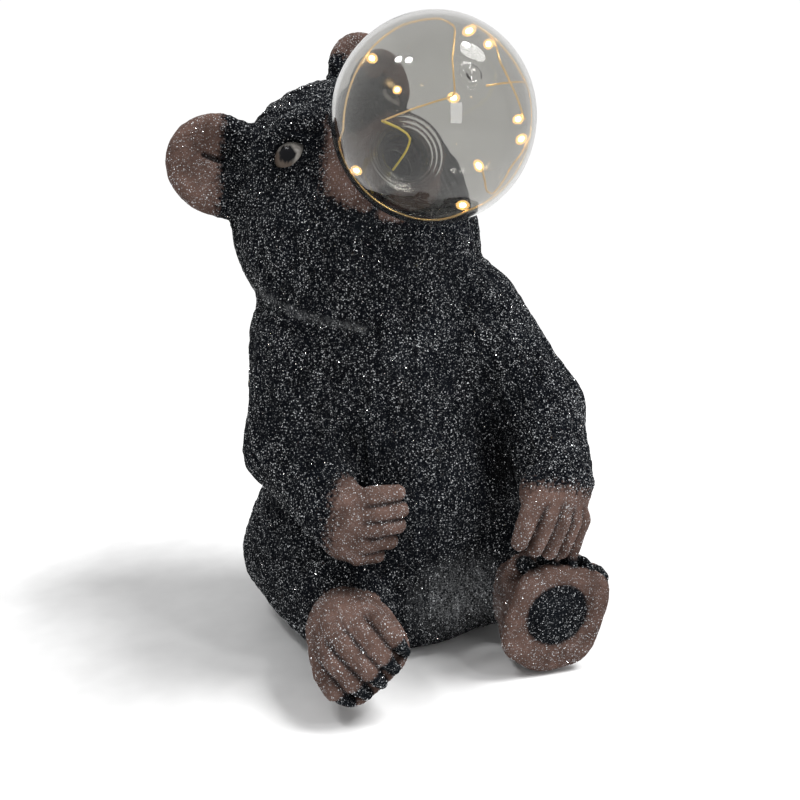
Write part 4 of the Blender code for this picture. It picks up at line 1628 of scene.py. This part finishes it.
@dataclass(frozen=True)
class Studio:
    """The pale floor, the soft lights and the camera."""

    shift: Array
    eye: tuple = (-18.9, -48.4, 26.85)
    heading: float = 22.0
    pitch: float = 13.0
    lens: float = 40.5
    floor_half: float = 60.0
    floor_colour: Colour = (0.87, 0.87, 0.87)
    sky_seen: float = 1.03
    sky_light: float = 0.5
    sun_way: tuple = (0.45, -0.25, 0.86)
    sun_power: float = 3.0
    sun_spread: float = 22.0
    lamp_ways: tuple = ((-0.58, -0.07, 0.81), (-0.51, -0.23, 0.83), (0.35, -0.20, 0.91),
                        (0.29, -0.62, 0.73))
    lamp_middle: tuple = (0.0, -0.06, 0.29)
    lamp_reach: float = 1.25
    lamp_size: tuple = (0.14, 0.14)
    lamp_power: float = 2.5
    lamp_aim: tuple = (0.0, -0.06, 0.2)
    window_place: tuple = (0.0, -1.3, 0.36)
    window_size: tuple = (0.26, 0.45)
    window_power: float = 1.6

    def build(self) -> None:
        """Set the stage."""
        bpy.context.scene.view_settings.view_transform = "Standard"
        self.floor()
        self.world()
        self.sun()
        for number, way in enumerate(self.lamp_ways):
            place = Vector(self.lamp_middle) + self.lamp_reach * Vector(way).normalized()
            self.lamp(f"ceiling lamp {number + 1}", place, self.lamp_size, self.lamp_power)
        self.lamp("window", self.window_place, self.window_size, self.window_power)
        self.camera()

    def floor(self) -> None:
        """Lay a wide flat pale floor."""
        shape = bmesh.new()
        bmesh.ops.create_grid(shape, x_segments=1, y_segments=1, size=self.floor_half)
        mesh = bpy.data.meshes.new("studio_floor")
        shape.to_mesh(mesh)
        shape.free()
        finish = PlainFinish("pale floor", self.floor_colour, roughness=0.85, grain=40.0)
        item = add_piece("studio_floor", mesh, finish.material())

    def world(self) -> None:
        """Fill the room with even pale light, weaker on what it lights than where it is seen."""
        world = bpy.data.worlds.new("soft room")
        bpy.context.scene.world = world
        world.use_nodes = True
        tree = Tree(world.node_tree)
        ray = tree.add("ShaderNodeLightPath")
        seen = tree.math("SUBTRACT", 1.0, ray.outputs["Is Diffuse Ray"])
        strength = tree.scaled(seen, self.sky_seen - self.sky_light, self.sky_light)
        shade = tree.add("ShaderNodeBackground", Color=WHITE, Strength=strength)
        tree.add("ShaderNodeOutputWorld", Surface=shade.outputs[0])

    @staticmethod
    def hang(name: str, light: bpy.types.Light, power: float, turn: object) -> bpy.types.Object:
        """Hang a light of the given power, turned as told."""
        light.energy = power
        item = add_object(name, light)
        item.rotation_euler = turn.to_euler()
        return item

    def sun(self) -> None:
        """Light the statue and the floor evenly from above, and a little from the bear's left."""
        light = bpy.data.lights.new("soft key", "SUN")
        light.angle = math.radians(self.sun_spread)
        turn = Vector(self.sun_way).to_track_quat("Z", "Y")
        self.hang("soft key", light, self.sun_power, turn).visible_glossy = False

    def lamp(self, name: str, place: Sequence[float], size: tuple[float, float],
             power: float) -> None:
        """Hang one small lamp and aim it at the globe."""
        light = bpy.data.lights.new(name, "AREA")
        light.shape = "ELLIPSE" if size[0] == size[1] else "RECTANGLE"
        light.size, light.size_y = size
        turn = (Vector(self.lamp_aim) - Vector(place)).to_track_quat("-Z", "Y")
        self.hang(name, light, power, turn).location = place

    def camera(self) -> None:
        """Put the camera where the photograph was taken."""
        turn, nod = math.radians(self.heading), math.radians(self.pitch)
        level = Vector((math.sin(turn), math.cos(turn), 0.0))
        ahead = Vector((level.x * math.cos(nod), level.y * math.cos(nod), -math.sin(nod)))
        right = Vector((level.y, -level.x, 0.0))
        lens = bpy.data.cameras.new("camera")
        lens.sensor_width = 36.0
        lens.lens = self.lens
        lens.clip_start = 0.01
        item = add_object("camera", lens)
        place = Matrix((right, right.cross(ahead), -ahead)).transposed().to_4x4()
        place.translation = Vector(np.array(self.eye) * SHARE + self.shift)
        item.matrix_world = place
        bpy.context.scene.camera = item


def main() -> None:
    """Build the statue and its studio."""
    sizes = GlobeSizes()
    shift = BubbleGlobe.frame_shift(sizes)
    LOG.info("frame shift %s", shift.round(5))
    Studio(shift).build()
    BubbleGlobe(sizes, shift).build()
    LightString(sizes, shift).build()
    Bear(BearForm(), shift).build()


if __name__ == "__main__":
    main()
